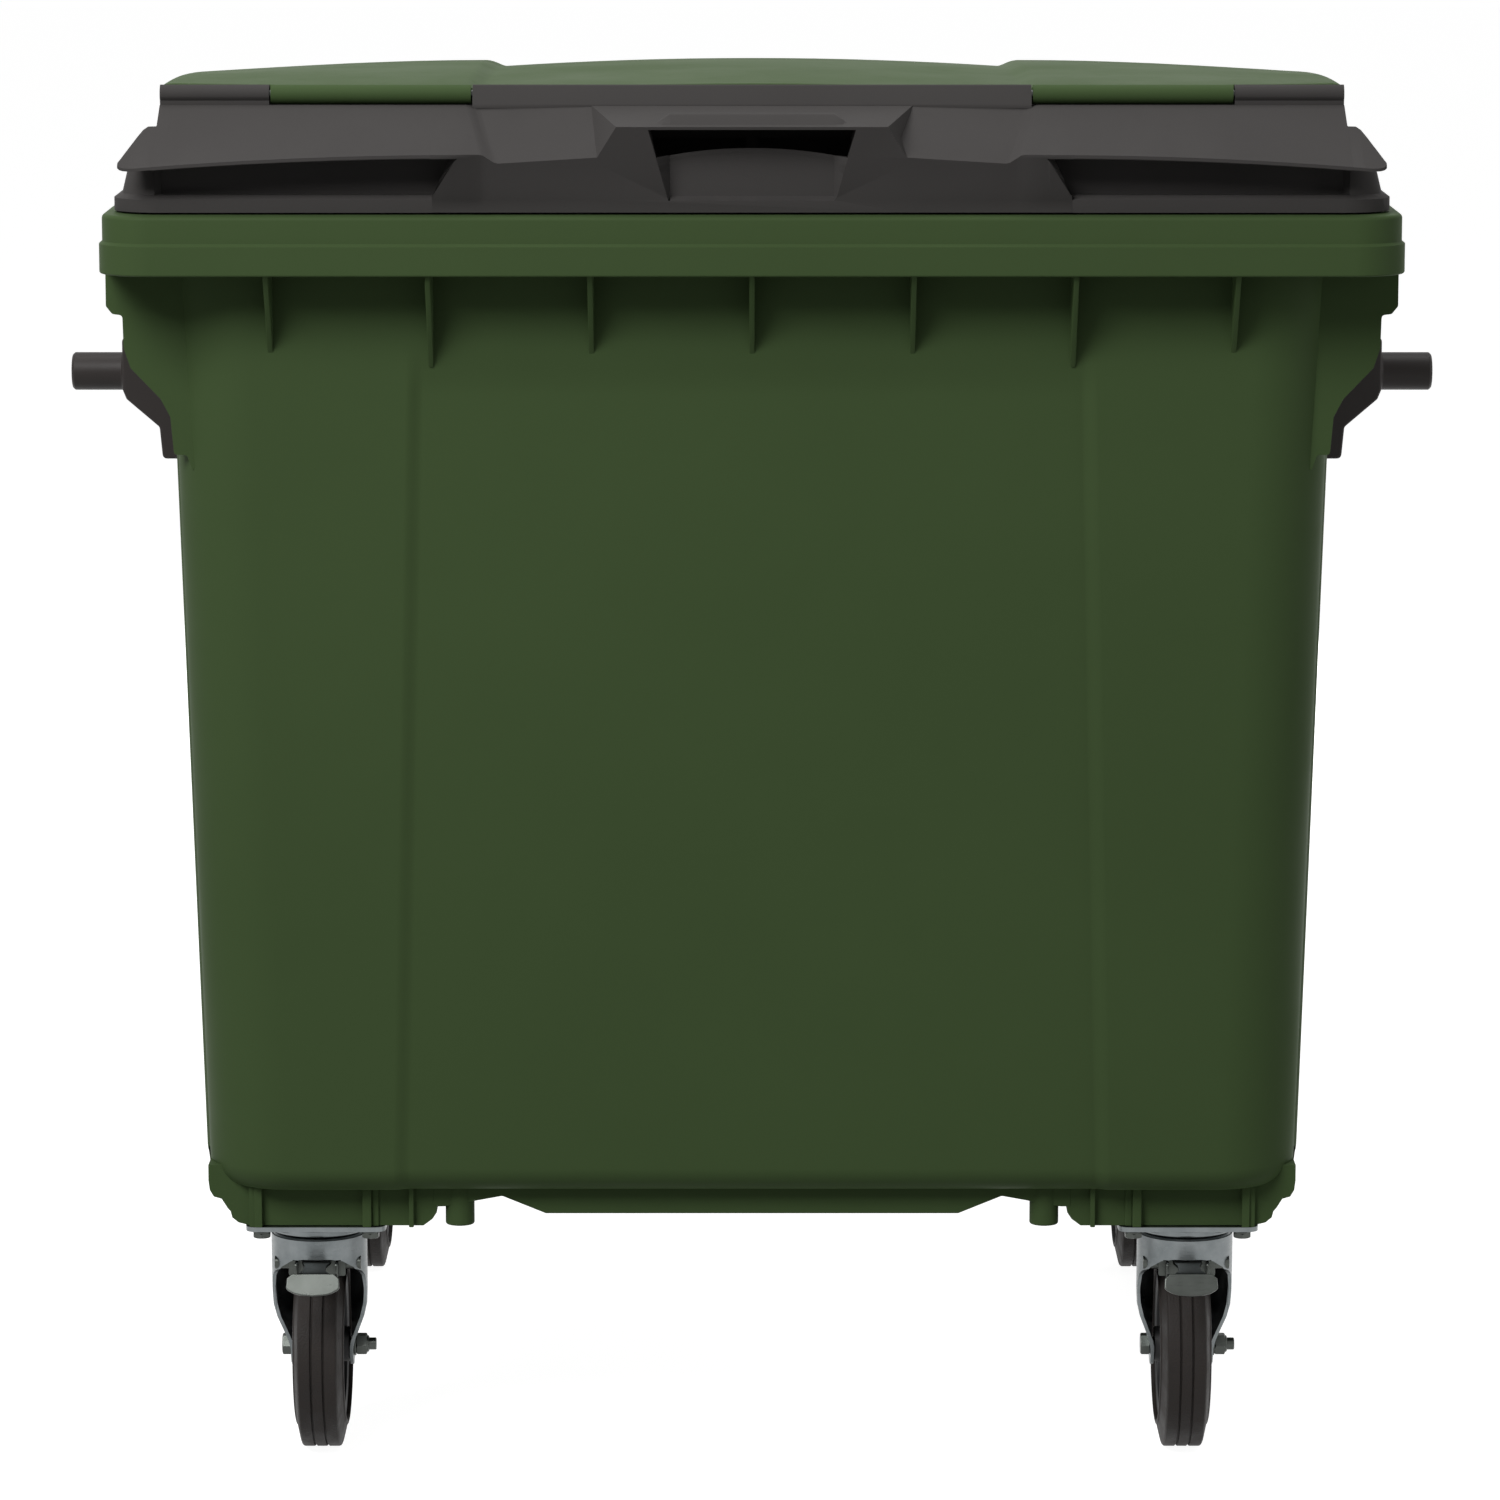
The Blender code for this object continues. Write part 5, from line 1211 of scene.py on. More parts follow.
# %% Sizes of the inner lid
inner_half_x = slope_half_x - 0.0015
inner_front = -hinge_y + 0.0125
inner_rear = opening_half_y + 0.018
inner_skin = 0.0045
crown_z = hinge_z + 0.0114
inner_depth = inner_rear - inner_front
crown_y = inner_front + inner_depth * 0.256
crown_fall = 0.0344
panel_step = 0.006
panel_half_x = 0.250
side_start_x = panel_half_x + 0.020
panel_dome = 0.008
side_fall = 0.0145
side_fall_front_share = -0.15
side_fall_run_share = 0.60
inner_corner = 0.010
inner_round = 0.0018
grid_rows = 28


# %% The crowned top
def inner_top(x, y):
    z = crown_z - crown_fall * ((y - crown_y) / (inner_rear - crown_y)) ** 2
    across = abs(x)
    if across > side_start_x:
        along = min(1.0, max(0.0, y - inner_front) / (inner_depth * side_fall_run_share))
        grown = side_fall_front_share + (1 - side_fall_front_share) * along
        share = (across - side_start_x) / (inner_half_x - side_start_x)
        return z - side_fall * grown * share ** 2
    if across > panel_half_x:
        share = (side_start_x - across) / (side_start_x - panel_half_x)
        return z - panel_step * share * share * (3 - 2 * share)
    return z - panel_step + panel_dome * (1 - (across / panel_half_x) ** 2)


def lid_block(inset, drop, lift):
    """The lid as a full block. Its cross-sections lie closer together towards the front and the rear."""
    front = inner_front + inset
    depth = inner_rear - inset - front
    edge = inner_half_x - inner_corner
    half_xs = [0.0]
    for end, steps in ((panel_half_x, 8), (side_start_x, 5), (edge, 8), (inner_half_x - inset, 4)):
        start = half_xs[-1]
        half_xs += [start + (end - start) * k / steps for k in range(1, steps + 1)]
    xs = [-x for x in reversed(half_xs[1:])] + half_xs
    sections = []
    for k in range(grid_rows + 1):
        y = front + depth * (1 - math.cos(math.pi * k / grid_rows)) / 2
        row = []
        for x in xs:
            past = max(0.0, abs(x) - edge) / inner_corner
            row.append(Vector((x, y, inner_top(x, y) - drop - inner_corner / 8 * past ** 2)))
        foot = land_at(y) + lift
        sections.append([Vector((xs[0], y, foot))] + row + [Vector((xs[-1], y, foot))])
    return loft(sections)


inner = lid_block(0.0, 0.0, hair)
cut(inner, lid_block(inner_skin, inner_skin, -overrun))
soften(inner, inner_round, 3, 34)


# %% The long green knuckles
def inner_knuckle(x_side):
    near, far = sorted((x_side * knuckle_in, x_side * knuckle_out))
    barrel = rod(hinge_radius, (near, -hinge_y, hinge_z), (far, -hinge_y, hinge_z))
    arm = box((near + inner_skin, -hinge_y, hinge_z - hinge_radius / 3),
              (far - inner_skin, inner_front + inner_skin / 2, hinge_z + hinge_radius * 0.55))
    fuse(barrel, arm)
    cut(barrel, rod(hinge_pin_radius + fit_gap, (near - overrun, -hinge_y, hinge_z),
                    (far + overrun, -hinge_y, hinge_z), 24))
    return soften(barrel, steel_round, 2)


dress(inner, "inner_lid_skin", "lid_in_lid", green, "green_plastic", "inner_lid")
for x_side, place_name in left_right:
    dress(inner_knuckle(x_side), f"inner_lid_knuckle_{place_name}", "lid_in_lid", green, "green_plastic")
print("inner lid", len(inner.data.polygons), "faces")

# %% [markdown]
# The pins are plain zinc-plated rod. The ones of the inner lid show only as a bright spot in the narrow
# gaps beside the green knuckles. The rear ones have a flat head.

# %% Hinge pins
pin_head = 0.003
pin_head_radius = 0.008


def inner_pin(x_side):
    start, end = ((x_side * x, -hinge_y, hinge_z) for x in (pin_start, pin_end))
    return soften(rod(hinge_pin_radius, start, end, 32), thin_round, 2)


def lid_pin(x_side):
    reach = lid_knuckle_half + fit_gap + lug_thick
    head = reach + hair
    pin = turned([(0.0, head + pin_head), (pin_head_radius, head + pin_head), (pin_head_radius, head),
                  (lid_pin_radius, head), (lid_pin_radius, -reach - pin_head), (0.0, -reach - pin_head)], 40)
    spot = (x_side * lid_hinge_x, lid_axis_y, lid_axis_z)
    pin.matrix_world = Matrix.Translation(spot) @ Matrix.Rotation(-x_side * math.pi / 2, 4, 'Y')
    return soften(settle(pin), steel_round, 2)


for x_side, place_name in left_right:
    dress(inner_pin(x_side), f"inner_hinge_pin_{place_name}", "lid", bright_zinc, "zinc_steel",
          f"inner_pin_{place_name}")
    dress(lid_pin(x_side), f"rear_hinge_pin_{place_name}", "container", bright_zinc, "zinc_steel",
          f"lid_pin_{place_name}")

# %% [markdown]
# A trunnion is a stout round pin on a stepped bracket that is screwed against the side wall. The lifting
# arms of a refuse lorry take the container by these two pins, so they carry its whole weight.

# %% Trunnions
trunnion_radius = 0.019
trunnion_z = 1.025
trunnion_reach = 0.1338
trunnion_length = 0.054
bracket_rise = 0.060
bracket_drop = 0.084
bracket_corner = 0.005
bracket_round = 0.0022
bracket_outline_shares = [(0.60, 1.00), (1.00, 0.60), (1.00, -0.175), (0.955, -0.285), (0.555, -0.620),
                          (0.520, -1.00)]
pin_chamfer = 0.0025
pin_dish = 0.002
pin_dish_radius = 0.0135
pin_foot = 0.0035


def trunnion_bracket(x_side):
    low, high = trunnion_z - bracket_drop, trunnion_z + bracket_rise
    seat_low, seat_high = (wall_x(z) + bulge + hair for z in (low, high))
    face = wall_x(trunnion_z) + bulge + trunnion_reach - trunnion_length
    outline = [(seat_low, low), (seat_high, high)]
    for out_share, height_share in bracket_outline_shares:
        span = bracket_rise if height_share > 0 else bracket_drop
        outline.append((seat_low + (face - seat_low) * out_share, trunnion_z + span * height_share))
    outline = rounded_outline(outline, bracket_corner, 4)
    return soften(plate(outline, bracket_half_y * 2, across_y(x_side)), bracket_round)


def trunnion_pin(x_side):
    end = wall_x(trunnion_z) + bulge + trunnion_reach
    face = end - trunnion_length
    rim, foot = trunnion_radius, trunnion_radius + pin_foot
    profile = [(0.0, end - pin_dish), (pin_dish_radius, end - pin_dish), (pin_dish_radius + 0.001, end),
               (rim - pin_chamfer, end), (rim, end - pin_chamfer), (rim, face + 0.004), (foot, face),
               (foot, face - overrun), (0.0, face - overrun)]
    pin = turned(profile, 72)
    pin.matrix_world = Matrix.Translation((0, 0, trunnion_z)) @ Matrix.Rotation(x_side * math.pi / 2, 4, 'Y')
    return soften(settle(pin), steel_round, 2)


for x_side, place_name in left_right:
    dress(trunnion_bracket(x_side), f"trunnion_bracket_{place_name}", "container", pin_black,
          "trunnion_plastic", f"trunnion_{place_name}")
    dress(trunnion_pin(x_side), f"trunnion_pin_{place_name}", "container", pin_black, "trunnion_plastic")

# %% [markdown]
# The drain plug closes a hole in the sunk pan of the floor. It has a bar across its underside to turn it
# by, and a flat rubber ring between its flange and the pan.

# %% Drain plug and seal
drain_outer = drain_radius + 0.007
seal_thick = 0.002
seal_top = floor_z - pan_depth - hair
flange_top = seal_top - seal_thick - hair
flange_foot = flange_top - 0.0055
plug_top = floor_z - pan_depth + 0.0095
plug_hollow = drain_radius - 0.006
bar_reach = drain_radius - 0.004
bar_half = 0.003


def at_drain(piece):
    piece.matrix_world = Matrix.Translation((0, -drain_y, 0))
    return settle(piece)


seal_bore, seal_foot = drain_radius + fit_gap, seal_top - seal_thick
seal = turned([(seal_bore, seal_top), (drain_outer, seal_top), (drain_outer, seal_foot),
               (seal_bore, seal_foot)], 56)
plug = turned([(0.0, plug_top), (drain_radius, plug_top), (drain_radius, flange_top),
               (drain_outer, flange_top), (drain_outer, flange_foot), (plug_hollow, flange_foot),
               (plug_hollow, flange_top), (0.0, flange_top)], 56)
plug = soften(at_drain(plug), 0.0008, 2)
turn_bar = soften(box((-bar_reach, -drain_y - bar_half, flange_foot),
                      (bar_reach, -drain_y + bar_half, flange_top + overrun)), rib_round, 2)
dress(soften(at_drain(seal), 0.0005, 2), "drain_ring", "drain", seal_rubber, "rubber", "drain_seal")
dress(shade(gather("plug", [plug, turn_bar])), "drain_cap", "drain", black, "black_plastic", "drain_plug")

# %% [markdown]
# The casters are four copies of one. It is modelled once about its own upright axis, with the wheel
# trailing behind, and placed four times. From the floor up: the tyre on its wheel centre, the bolt and
# nut that are its axle, the pressed fork, and the plate with its ball race. The two front ones also have
# a brake pedal.

# %% Sizes of a caster
plate_half_y = 0.055
plate_foot = 0.2337
head_top = 0.2266
head_foot = 0.2051
head_radius = 0.0465
wheel_radius = 0.100
wheel_trail = 0.040
tyre_half = 0.025
hub_half = 0.0265
rim_radius = 0.074
fork_thick = 0.0035
fork_foot_half = 0.0305
axle_radius = 0.006
bolt_x = 0.0525
bolt_y = 0.040
bolt_hole = 0.0053
plate_thick = 0.0046
plate_mid = plate_foot + 0.0037
plate_corner = 0.012
race_radius = 0.0480
race_foot = plate_foot - 0.0062


# %% Plate with its pressed ball race
def caster_plate():
    corners = [(a * plate_half_x, b * plate_half_y) for a, b in around]
    corners = rounded_outline(corners, plate_corner, 6)
    slab = plate(corners, plate_thick, Matrix.Translation((0, 0, plate_mid)))
    for a, b in four_corners:
        spot = (a * bolt_x, b * bolt_y)
        cut(slab, rod(bolt_hole, (*spot, plate_foot - overrun), (*spot, plate_foot + overrun * 3), 24))
    soften(slab, block_round, 3)
    race = turned([(0.008, plate_foot + 0.001), (0.0472, plate_foot + 0.001),
                   (race_radius, plate_foot - 0.0004), (race_radius, plate_foot - 0.0048),
                   (0.0468, race_foot), (0.008, race_foot)], 80)
    return gather("caster_plate", [slab, soften(race, steel_round, 2, 20)])


def kingpin():
    """The rivet that holds the fork to the plate, with a head above and a wider flange inside the fork."""
    top, flange_top = plate_foot + 0.0057, head_top - 0.0056
    neck, foot = top - 0.003, flange_top - 0.007
    radius, head, flange = 0.007, 0.011, 0.013
    pin = turned([(0.0, top), (head, top), (head, neck), (radius, neck), (radius, flange_top),
                  (flange, flange_top), (flange, foot), (0.0, foot)], 48)
    return soften(pin, steel_round, 2)


# %% [markdown]
# The fork is pressed from one sheet: a round cup on top whose sides run down as two cheeks, drawn in
# towards the axle. A tube of changing section gives the cheeks, an arch cut through from front to back
# opens it, and the outline of the cheek seen from the side trims it. A station of the tube gives its
# height, half width, front, rear, and a power that is 2 for an oval and grows as the section gets square.

# %% The fork
fork_stations = [
    (0.2235, 0.0465, -0.0465, 0.0465, 2.0), (0.2000, 0.0465, -0.0465, 0.0480, 2.0),
    (0.1850, 0.0465, -0.0455, 0.0505, 2.0), (0.1650, 0.0464, -0.0430, 0.0530, 2.0),
    (0.1500, 0.0456, -0.0400, 0.0560, 2.1), (0.1360, 0.0425, -0.0330, 0.0610, 2.3),
    (0.1220, 0.0375, -0.0200, 0.0680, 2.7), (0.1100, 0.0332, -0.0080, 0.0740, 3.4),
    (0.1000, 0.0310, 0.0000, 0.0780, 4.0), (0.0780, 0.0305, 0.0020, 0.0780, 4.0)]
cheek_outline = [
    (-0.060, 0.2300), (-0.060, 0.2010), (-0.0470, 0.1980), (-0.0300, 0.1930), (-0.0180, 0.1880),
    (-0.0100, 0.1820), (-0.0050, 0.1740), (-0.0010, 0.1600), (0.0030, 0.1440), (0.0090, 0.1280),
    (0.0150, 0.1140), (0.0190, 0.1020), (0.0215, 0.0930), (0.0270, 0.0850), (0.0340, 0.0810),
    (0.0430, 0.0805), (0.0520, 0.0850), (0.0575, 0.0930), (0.0590, 0.1020), (0.0575, 0.1200),
    (0.0540, 0.1400), (0.0490, 0.1600), (0.0450, 0.1800), (0.0440, 0.1960), (0.0600, 0.2010), (0.060, 0.2300)]
arch_half = [(0.0430, 0.060), (0.0430, 0.150), (0.0430, 0.168), (0.0415, 0.182), (0.0350, 0.1945),
             (0.0250, 0.2025), (0.0130, 0.2052)]
wheel_slot_half = [(0.0272, 0.060), (0.0272, 0.170), (0.0272, 0.196), (0.0230, 0.2040)]
arch_back_y = 0.004


def cross_rod(radius, half, y, z, steps=32):
    """A round rod across the caster."""
    return rod(radius, (-half, y, z), (half, y, z), steps)


def both_halves(half):
    """A symmetric outline from its right half, which runs upwards."""
    return half + [(-across, up) for across, up in reversed(half)]


def tube_section(z, half_x, front, back, power, inset, sides=56):
    middle, half_y = (front + back) / 2, (back - front) / 2 - inset
    spots = []
    for k in range(sides):
        angle = math.tau * k / sides
        cosine, sine = math.cos(angle), math.sin(angle)
        x = math.copysign(abs(cosine) ** (2 / power), cosine) * (half_x - inset)
        y = math.copysign(abs(sine) ** (2 / power), sine) * half_y
        spots.append(Vector((x, middle + y, z)))
    return spots


def fork():
    body = loft([tube_section(*station, 0.0) for station in fork_stations])
    hollow = [list(station) for station in fork_stations]
    hollow[0][0] -= 0.005
    hollow[-1][0] -= overrun
    cut(body, loft([tube_section(*station, fork_thick) for station in hollow]))
    cut(body, plate(both_halves(arch_half), 0.1, across_y(1, arch_back_y - 0.05)),
        plate(both_halves(wheel_slot_half), 0.3, across_y(1)))
    keep_within(body, plate(cheek_outline, 0.2, across_x(1)))
    cut(body, cross_rod(axle_radius + hair, 0.1, wheel_trail, wheel_radius))
    cut(body, rod(0.0075, (0, 0, 0.19), (0, 0, 0.24), 32))
    soften(body, thin_round, 2, 34)
    crown = turned([(r, head_top - down) for r, down in (
        (0.0076, 0.0), (0.0400, 0.0), (0.0432, 0.0014), (0.0462, 0.0050), (0.0465, 0.0075), (0.0440, 0.0075),
        (0.0425, 0.0045), (0.0400, 0.0046), (0.0076, 0.0046))], 80)
    return gather("fork", [body, soften(crown, thin_round, 2, 24)])


# %% [markdown]
# The tyre is a turned section with two narrow grooves round its tread. The wheel centre inside it is a
# moulded disc stiffened by spokes. One spoke is drawn, and a second Geometry Nodes tree sets it round
# the axle by turning each copy by the same share of a full turn.

# %% Tyre
def on_axle(piece):
    """Turn a piece made about Z so that it lies about the axle."""
    turn = Matrix.Rotation(math.pi / 2, 4, 'Y')
    piece.matrix_world = Matrix.Translation((0, wheel_trail, wheel_radius)) @ turn
    return settle(piece)


def tyre():
    groove_at, groove_half, groove_deep, groove_lip = 0.0059, 0.0010, 0.0024, 0.0005
    tread, groove_foot = wheel_radius, wheel_radius - groove_deep
    half = [(rim_radius, tyre_half - 0.003), (rim_radius + 0.0015, tyre_half), (0.0772, tyre_half),
            (0.0786, tyre_half - 0.0004), (0.0794, tyre_half - 0.0014), (0.0965, 0.0196), (0.0985, 0.0188),
            (0.0996, 0.0178), (tread, 0.0164), (tread, groove_at + groove_half + 0.0006),
            (tread - groove_lip, groove_at + groove_half), (groove_foot, groove_at + groove_half / 2),
            (groove_foot, groove_at - groove_half / 2), (tread - groove_lip, groove_at - groove_half),
            (tread, groove_at - groove_half - 0.0006)]
    return shade(on_axle(turned(half + [(r, -z) for r, z in reversed(half)], 128)), 30)


# %% The tree that sets spokes round an axle
def ring_tree():
    tree, given = new_tree("set out round an axis", {"Count": 'Int', "Finish": 'Material'})
    line = add(tree, 'GeometryNodeMeshLine', {"Count": given['Count'], "Offset": (0.0, 0.0, 0.0)})
    index = add(tree, 'GeometryNodeInputIndex').outputs['Index']
    angle = calculate(tree, 'MULTIPLY', index, calculate(tree, 'DIVIDE', math.tau, given['Count']))
    turn = add(tree, 'ShaderNodeCombineXYZ', {"Z": angle})
    return close_tree(tree, line.outputs['Mesh'], given['Geometry'], given['Finish'],
                      {"Rotation": turn.outputs['Vector']})


round_tree = ring_tree()


# %% Wheel centre
hub_radius = 0.017
web_half = 0.0045
spoke_count = 10


def wheel():
    bore, inner, outer = axle_radius + fit_gap, rim_radius - 0.008, rim_radius - 0.0004
    half = [(bore, hub_half), (hub_radius, hub_half), (hub_radius + 0.001, web_half),
            (inner - 0.001, web_half), (inner, 0.020), (outer, 0.0215)]
    disc = turned(half + [(r, -z) for r, z in reversed(half)], 96)
    ends = [(hub_radius - 0.001, 0.0024, 0.019), (inner + 0.001, 0.0016, 0.013)]
    spoke = loft([[Vector((x, a * half_y, b * half_z)) for a, b in around] for x, half_y, half_z in ends])
    soften(spoke, steel_round, 2)
    spokes = run_tree(spoke, round_tree, {"Count": spoke_count, "Finish": hub_black})
    return on_axle(gather("wheel", [soften(disc, rib_round, 2), spokes]))


# %% Axle bolt and nut
axle_flats = 0.019
axle_face = fork_foot_half + hair


def hexagon(flats, low, high):
    """A hexagon with the turned chamfer that every real one has."""
    radius = flats / 2 / math.cos(math.pi / 6)
    chamfer = (radius - flats * 0.46) * 0.6
    body = rod(radius, (0, 0, low), (0, 0, high), 6)
    keep_within(body, turned([
        (0.0, low - 0.0001), (flats * 0.48, low - 0.0001), (radius + 0.0004, low + chamfer),
        (radius + 0.0004, high - chamfer), (flats * 0.48, high + 0.0001), (0.0, high + 0.0001)], 48))
    return soften(body, 0.0003, 2, 20)


def axle_bolt():
    head = hexagon(axle_flats, -axle_face - 0.009, -axle_face)
    shank = soften(rod(axle_radius, (0, 0, -axle_face - 0.002), (0, 0, axle_face + 0.0215), 40), 0.0009, 2)
    return on_axle(gather("axle", [head, shank]))


def axle_nut():
    """The nut with its washer below and the locking collar on top."""
    bore, face, collar_foot = axle_radius + hair, axle_face, axle_face + 0.012
    washer_radius, washer_top, collar_radius, collar_top = 0.0115, face + 0.0018, 0.0082, face + 0.0144
    nut = hexagon(axle_flats, face + 0.002, face + 0.0125)
    cut(nut, rod(bore, (0, 0, face), (0, 0, face + 0.02), 32))
    washer = turned([(bore, face), (washer_radius, face), (washer_radius, washer_top),
                     (bore, washer_top)], 48)
    collar = turned([(bore, collar_foot), (collar_radius, collar_foot), (collar_radius, collar_top - 0.0008),
                     (collar_radius - 0.001, collar_top), (bore, collar_top)], 48)
    soften(washer, washer_round, 2)
    return on_axle(gather("nut", [shade(nut, 25), washer, soften(collar, 0.0003, 2)]))


def plate_bolt():
    """A hexagon bolt with its washer, its bearing face at the origin."""
    head = hexagon(0.016, -0.0066, -0.0014)
    washer = turned([(0.0, -0.0015), (0.0090, -0.0015), (0.0090, 0.0), (0.0, 0.0)], 40)
    shank = rod(0.005, (0, 0, -0.001), (0, 0, 0.022), 24)
    return gather("bolt", [head, soften(washer, washer_round, 2), soften(shank, 0.0005, 2)])


# %% [markdown]
# The brake pedal of a front caster is a bent strip: a broad tongue for the foot that leans forward, a
# narrower neck and a cross plate, then a sleeve round the pivot pin with a cheek at each side. The cheeks
# hold a round bar that comes down towards the tyre when the pedal is pressed.

# %% Brake pedal and its pivot
neck_top_z = head_foot - 0.0016
pivot_y = -0.020
pivot_z = head_foot - 0.0081
tongue_half = [(0.0, -0.0222), (0.0115, -0.0213), (0.0180, -0.0195), (0.0235, -0.0165), (0.0257, -0.0140),
               (0.0250, -0.0045), (0.0200, 0.0)]
tongue_lean = 62
neck_thick = 0.0032
neck_spots = [(-0.0950, 0.0190, 0.0014), (-0.0900, 0.0150, 0.0002), (-0.0800, 0.0112, 0.0),
              (-0.0620, 0.0106, 0.0), (-0.0440, 0.0140, 0.0), (-0.0200, 0.0140, 0.0002)]
strip_thick = 0.0028
cross_corners = [(-0.0275, 0.1868), (0.0275, 0.1868), (0.0275, 0.2022), (-0.0275, 0.2022)]
shoe_y, shoe_z = pivot_y - 0.0165, pivot_z - 0.0145
pin_reach = 0.0418


def pedal():
    """Tongue, neck, sleeve, cross plate, the bar by the tyre and the two cheeks that hold it."""
    turn = Matrix.Rotation(math.radians(tongue_lean), 4, 'X')
    lean = Matrix.Translation((0, -0.0925, neck_top_z - 0.0005)) @ turn
    outline = tongue_half + [(-across, up) for across, up in reversed(tongue_half[1:])]
    tongue = soften(plate(rounded_outline(outline, 0.0015, 3), neck_thick, lean), 0.0011, 3)
    neck = []
    for y, half, drop in neck_spots:
        top = neck_top_z - drop
        low = top - neck_thick
        neck.append([Vector((side * half, y, z)) for side, z in ((-1, low), (1, low), (1, top), (-1, top))])
    neck = soften(loft(neck), 0.0008, 2)
    half = head_radius - fork_thick - 0.0012
    sleeve = cross_rod(0.0065, half, pivot_y, pivot_z, 36)
    cut(sleeve, cross_rod(0.0036, half + overrun, pivot_y, pivot_z, 24))
    soften(sleeve, thin_round, 2)
    shoe = soften(cross_rod(0.0040, 0.018, shoe_y, shoe_z), steel_round, 2)
    cross = plate(rounded_outline(cross_corners, 0.002, 3), strip_thick, across_y(1, -0.0335))
    soften(cross, thin_round, 2)
    cheek = [(pivot_y + 0.007, pivot_z + 0.0055), (pivot_y - 0.030, pivot_z + 0.0055),
             (pivot_y - 0.030, pivot_z - 0.004), (shoe_y - 0.002, shoe_z - 0.0036),
             (shoe_y + 0.006, shoe_z - 0.0030), (pivot_y + 0.007, pivot_z - 0.006)]
    cheeks = [soften(plate(rounded_outline(cheek, 0.003, 4), strip_thick, across_x(1, x_side * 0.0195)),
                     steel_round, 2) for x_side in (-1, 1)]
    return gather("pedal", [tongue, neck, sleeve, shoe, cross] + cheeks)


# %% Place the casters
pivot_pin = soften(cross_rod(0.003, pin_reach, pivot_y, pivot_z), 0.0004, 2)
caster_pieces = {
    "plate": (caster_plate(), zinc, "container"), "kingpin": (kingpin(), bright_zinc, "container"),
    "fork": (fork(), zinc, "swivel"), "axle": (axle_bolt(), bright_zinc, "swivel"),
    "nut": (axle_nut(), bright_zinc, "swivel"), "tyre": (tyre(), rubber, "roller"),
    "wheel": (wheel(), hub_black, "roller"), "pedal": (pedal(), bright_zinc, "brake"),
    "pedal_pin": (pivot_pin, bright_zinc, "swivel")}
slots = {"tyre": "tyre", "wheel": "wheel_plastic"}
bolt = plate_bolt()


def copy_to(piece, spot):
    mesh = piece.data.copy()
    mesh.transform(Matrix.Translation(spot))
    return link("copy", mesh)


for y_side, row_name in front_rear:
    for x_side, column in left_right:
        corner = f"{row_name}_{column}"
        spot = Vector((x_side * caster_x, y_side * caster_y, 0.0))
        for name, (piece, material, body) in caster_pieces.items():
            if name.startswith("pedal") and row_name == "rear":
                continue
            carrier = body if body == "container" else f"{corner}_{body}"
            dress(copy_to(piece, spot), f"{corner}_{name}_piece", carrier, material,
                  slots.get(name, "zinc_steel"), f"{corner}_{name}")
        bolts = [copy_to(bolt, spot + Vector((a * bolt_x, b * bolt_y, plate_foot - hair)))
                 for a, b in four_corners]
        dress(gather("bolts", bolts), f"{corner}_plate_bolts", "container", bright_zinc, "zinc_steel",
              *[f"{corner}_bolt_{k}" for k in range(1, 5)])
for piece in [entry[0] for entry in caster_pieces.values()] + [bolt]:
    bpy.data.objects.remove(piece, do_unlink=True)
print("pieces", len(made))

# %% [markdown]
# The picture is a plain studio one: a pale floor that meets a white background, one broad soft light from
# the upper left front, weaker ones from the right and from above, and a little light from all round. The
# floor takes its own soft shadow. A low light behind the container lets its rear be seen as well. It is
# kept out of reflections, so that it puts no shine on the lid.

# %% Floor and background
floor_half = 30.0
floor_brightness = 0.94
room_light = 0.15


def seen_by(tree, *rays):
    """One for rays of the named kinds, nothing for all others."""
    path = add(tree, 'ShaderNodeLightPath').outputs
    share = path[rays[0]]
    for ray in rays[1:]:
        share = calculate(tree, 'MAXIMUM', share, path[ray])
    return share


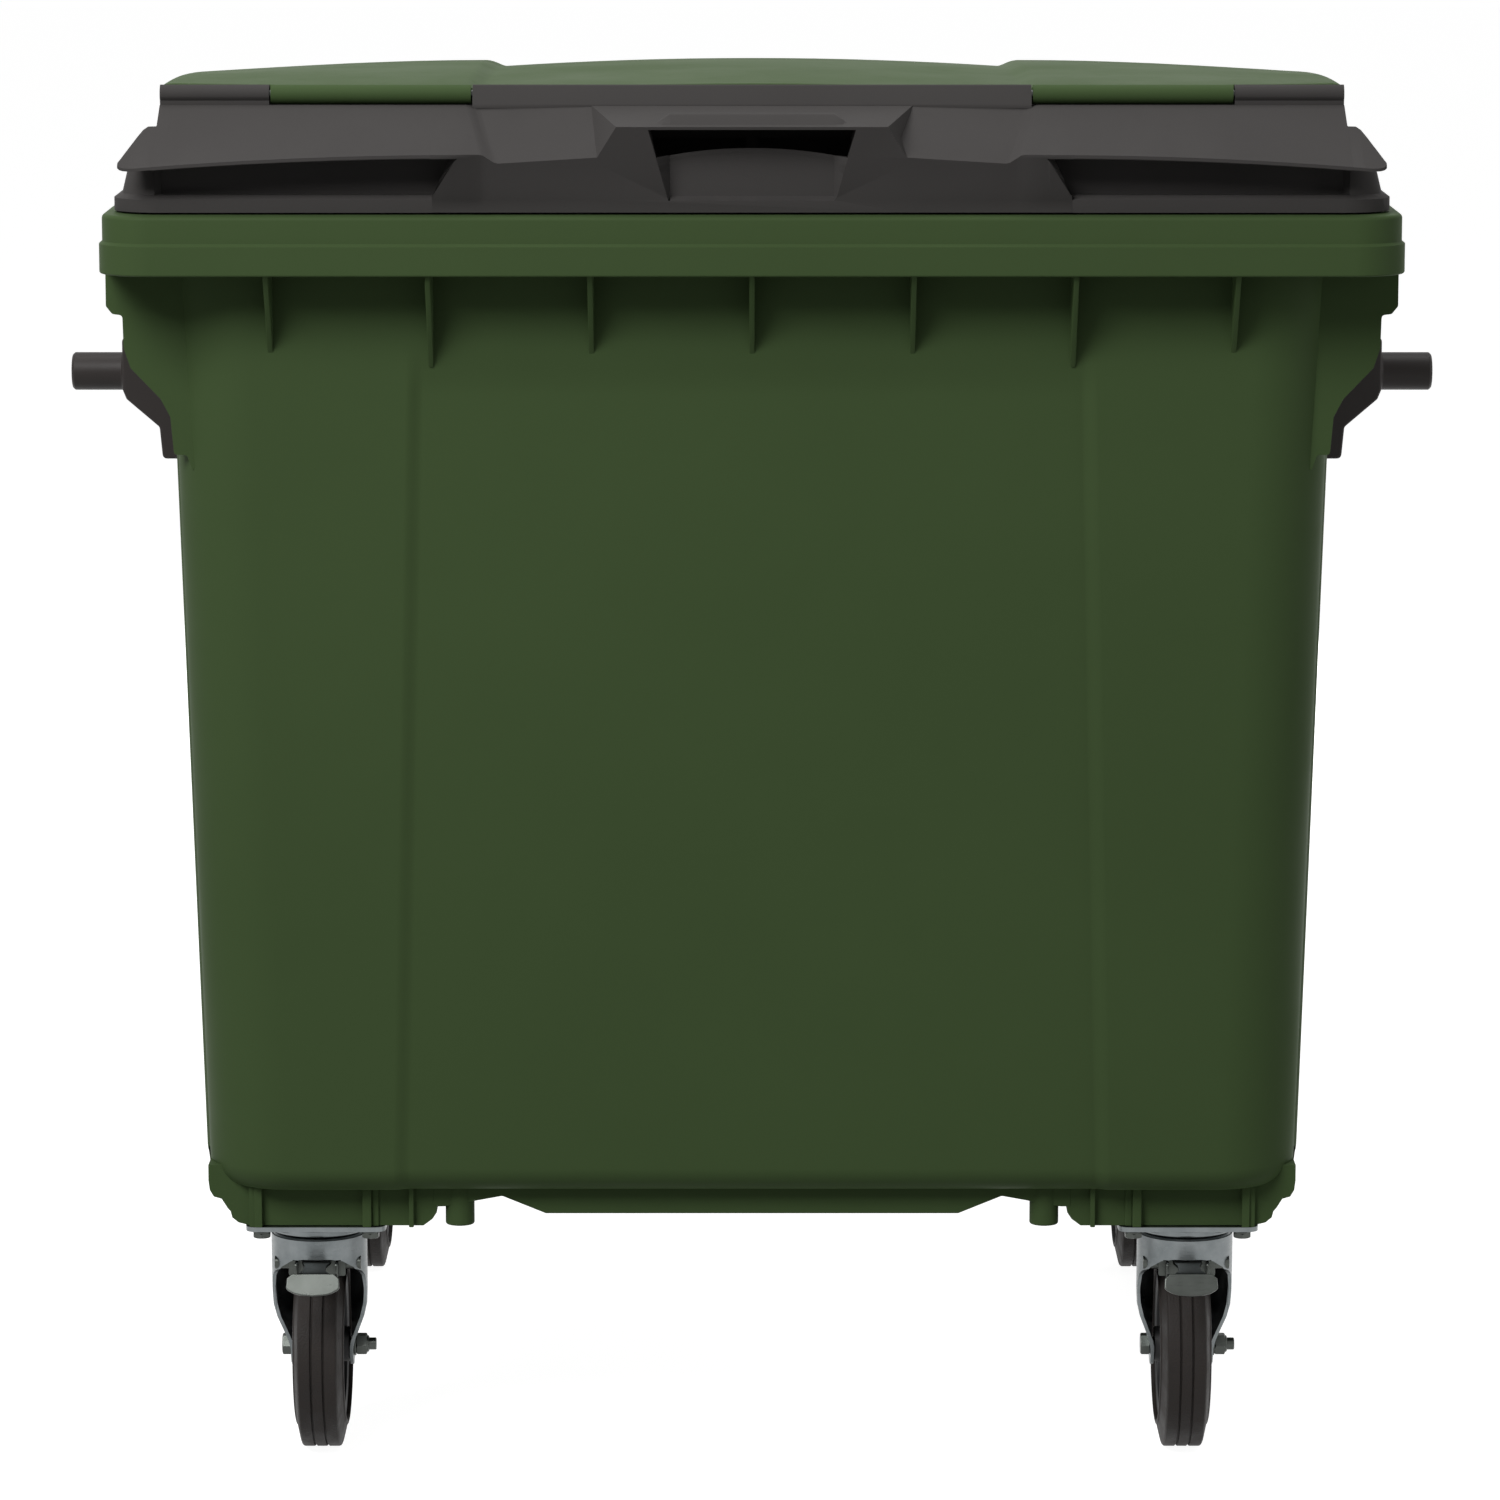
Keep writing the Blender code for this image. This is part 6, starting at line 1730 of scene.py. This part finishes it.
bm = bmesh.new()
bmesh.ops.create_grid(bm, x_segments=1, y_segments=1, size=floor_half)
floor = from_bmesh("floor", bm)
floor_paint, tree, shader = blank_material("floor_paint")[:3]
feed(tree, shader, {
    "Base Color": (0.36, 0.36, 0.36, 1.0), "Roughness": 0.9, "Specular IOR Level": 0.0,
    "Emission Color": (1.0, 1.0, 1.0, 1.0),
    "Emission Strength": calculate(tree, 'MULTIPLY', seen_by(tree, 'Is Camera Ray', 'Is Glossy Ray'),
                                   floor_brightness)})
floor.data.materials.append(floor_paint)

world = bpy.data.worlds.new("studio")
bpy.context.scene.world = world
world.use_nodes = True
tree = world.node_tree
seen = seen_by(tree, 'Is Camera Ray', 'Is Glossy Ray', 'Is Transmission Ray')
feed(tree, tree.nodes['Background'], {
    "Color": (1.0, 1.0, 1.0, 1.0), "Strength": ramp(tree, seen, 0.0, 1.0, room_light, 1.0)})


# %% Lights
def soft_light(name, spot, aim, width, height, power, mirrored=True):
    lamp = bpy.data.lights.new(name, 'AREA')
    lamp.shape = 'RECTANGLE'
    lamp.size, lamp.size_y = width, height
    lamp.energy = power
    piece = bpy.data.objects.new(name, lamp)
    piece.location = spot
    piece.rotation_euler = (Vector(aim) - Vector(spot)).to_track_quat('-Z', 'Y').to_euler()
    piece.visible_glossy = mirrored
    bpy.context.scene.collection.objects.link(piece)


soft_light("key", (-2.4, -3.9, 4.3), (0.0, 0.0, 0.8), 2.6, 2.2, 323.0)
soft_light("right", (4.4, -1.4, 2.0), (0.3, -0.1, 0.8), 1.0, 2.4, 38.0)
soft_light("top", (0.0, 0.3, 4.6), (0.0, -0.1, 1.0), 3.0, 2.0, 75.0)
soft_light("back", (1.0, 5.2, 0.95), (0.0, 0.0, 0.7), 3.2, 1.6, 190.0, mirrored=False)

# %% [markdown]
# The camera stands where the photographer's did. Its height, tilt and lens were worked out from the
# picture's own edges. The long lens keeps the upright edges nearly parallel.

# %% Camera
picture_width = 1500
camera = bpy.data.cameras.new("camera")
camera.sensor_width = 36.0
camera.lens = 153.26
camera.shift_x = -2.0 / picture_width
camera.clip_end = 200.0
eye = bpy.data.objects.new("camera", camera)
eye.location = (0.0, -6.4204, 1.68766)
eye.rotation_euler = (math.radians(80.71), 0.0, 0.0)
bpy.context.scene.collection.objects.link(eye)
bpy.context.scene.camera = eye
bpy.context.scene.view_settings.view_transform = 'Standard'
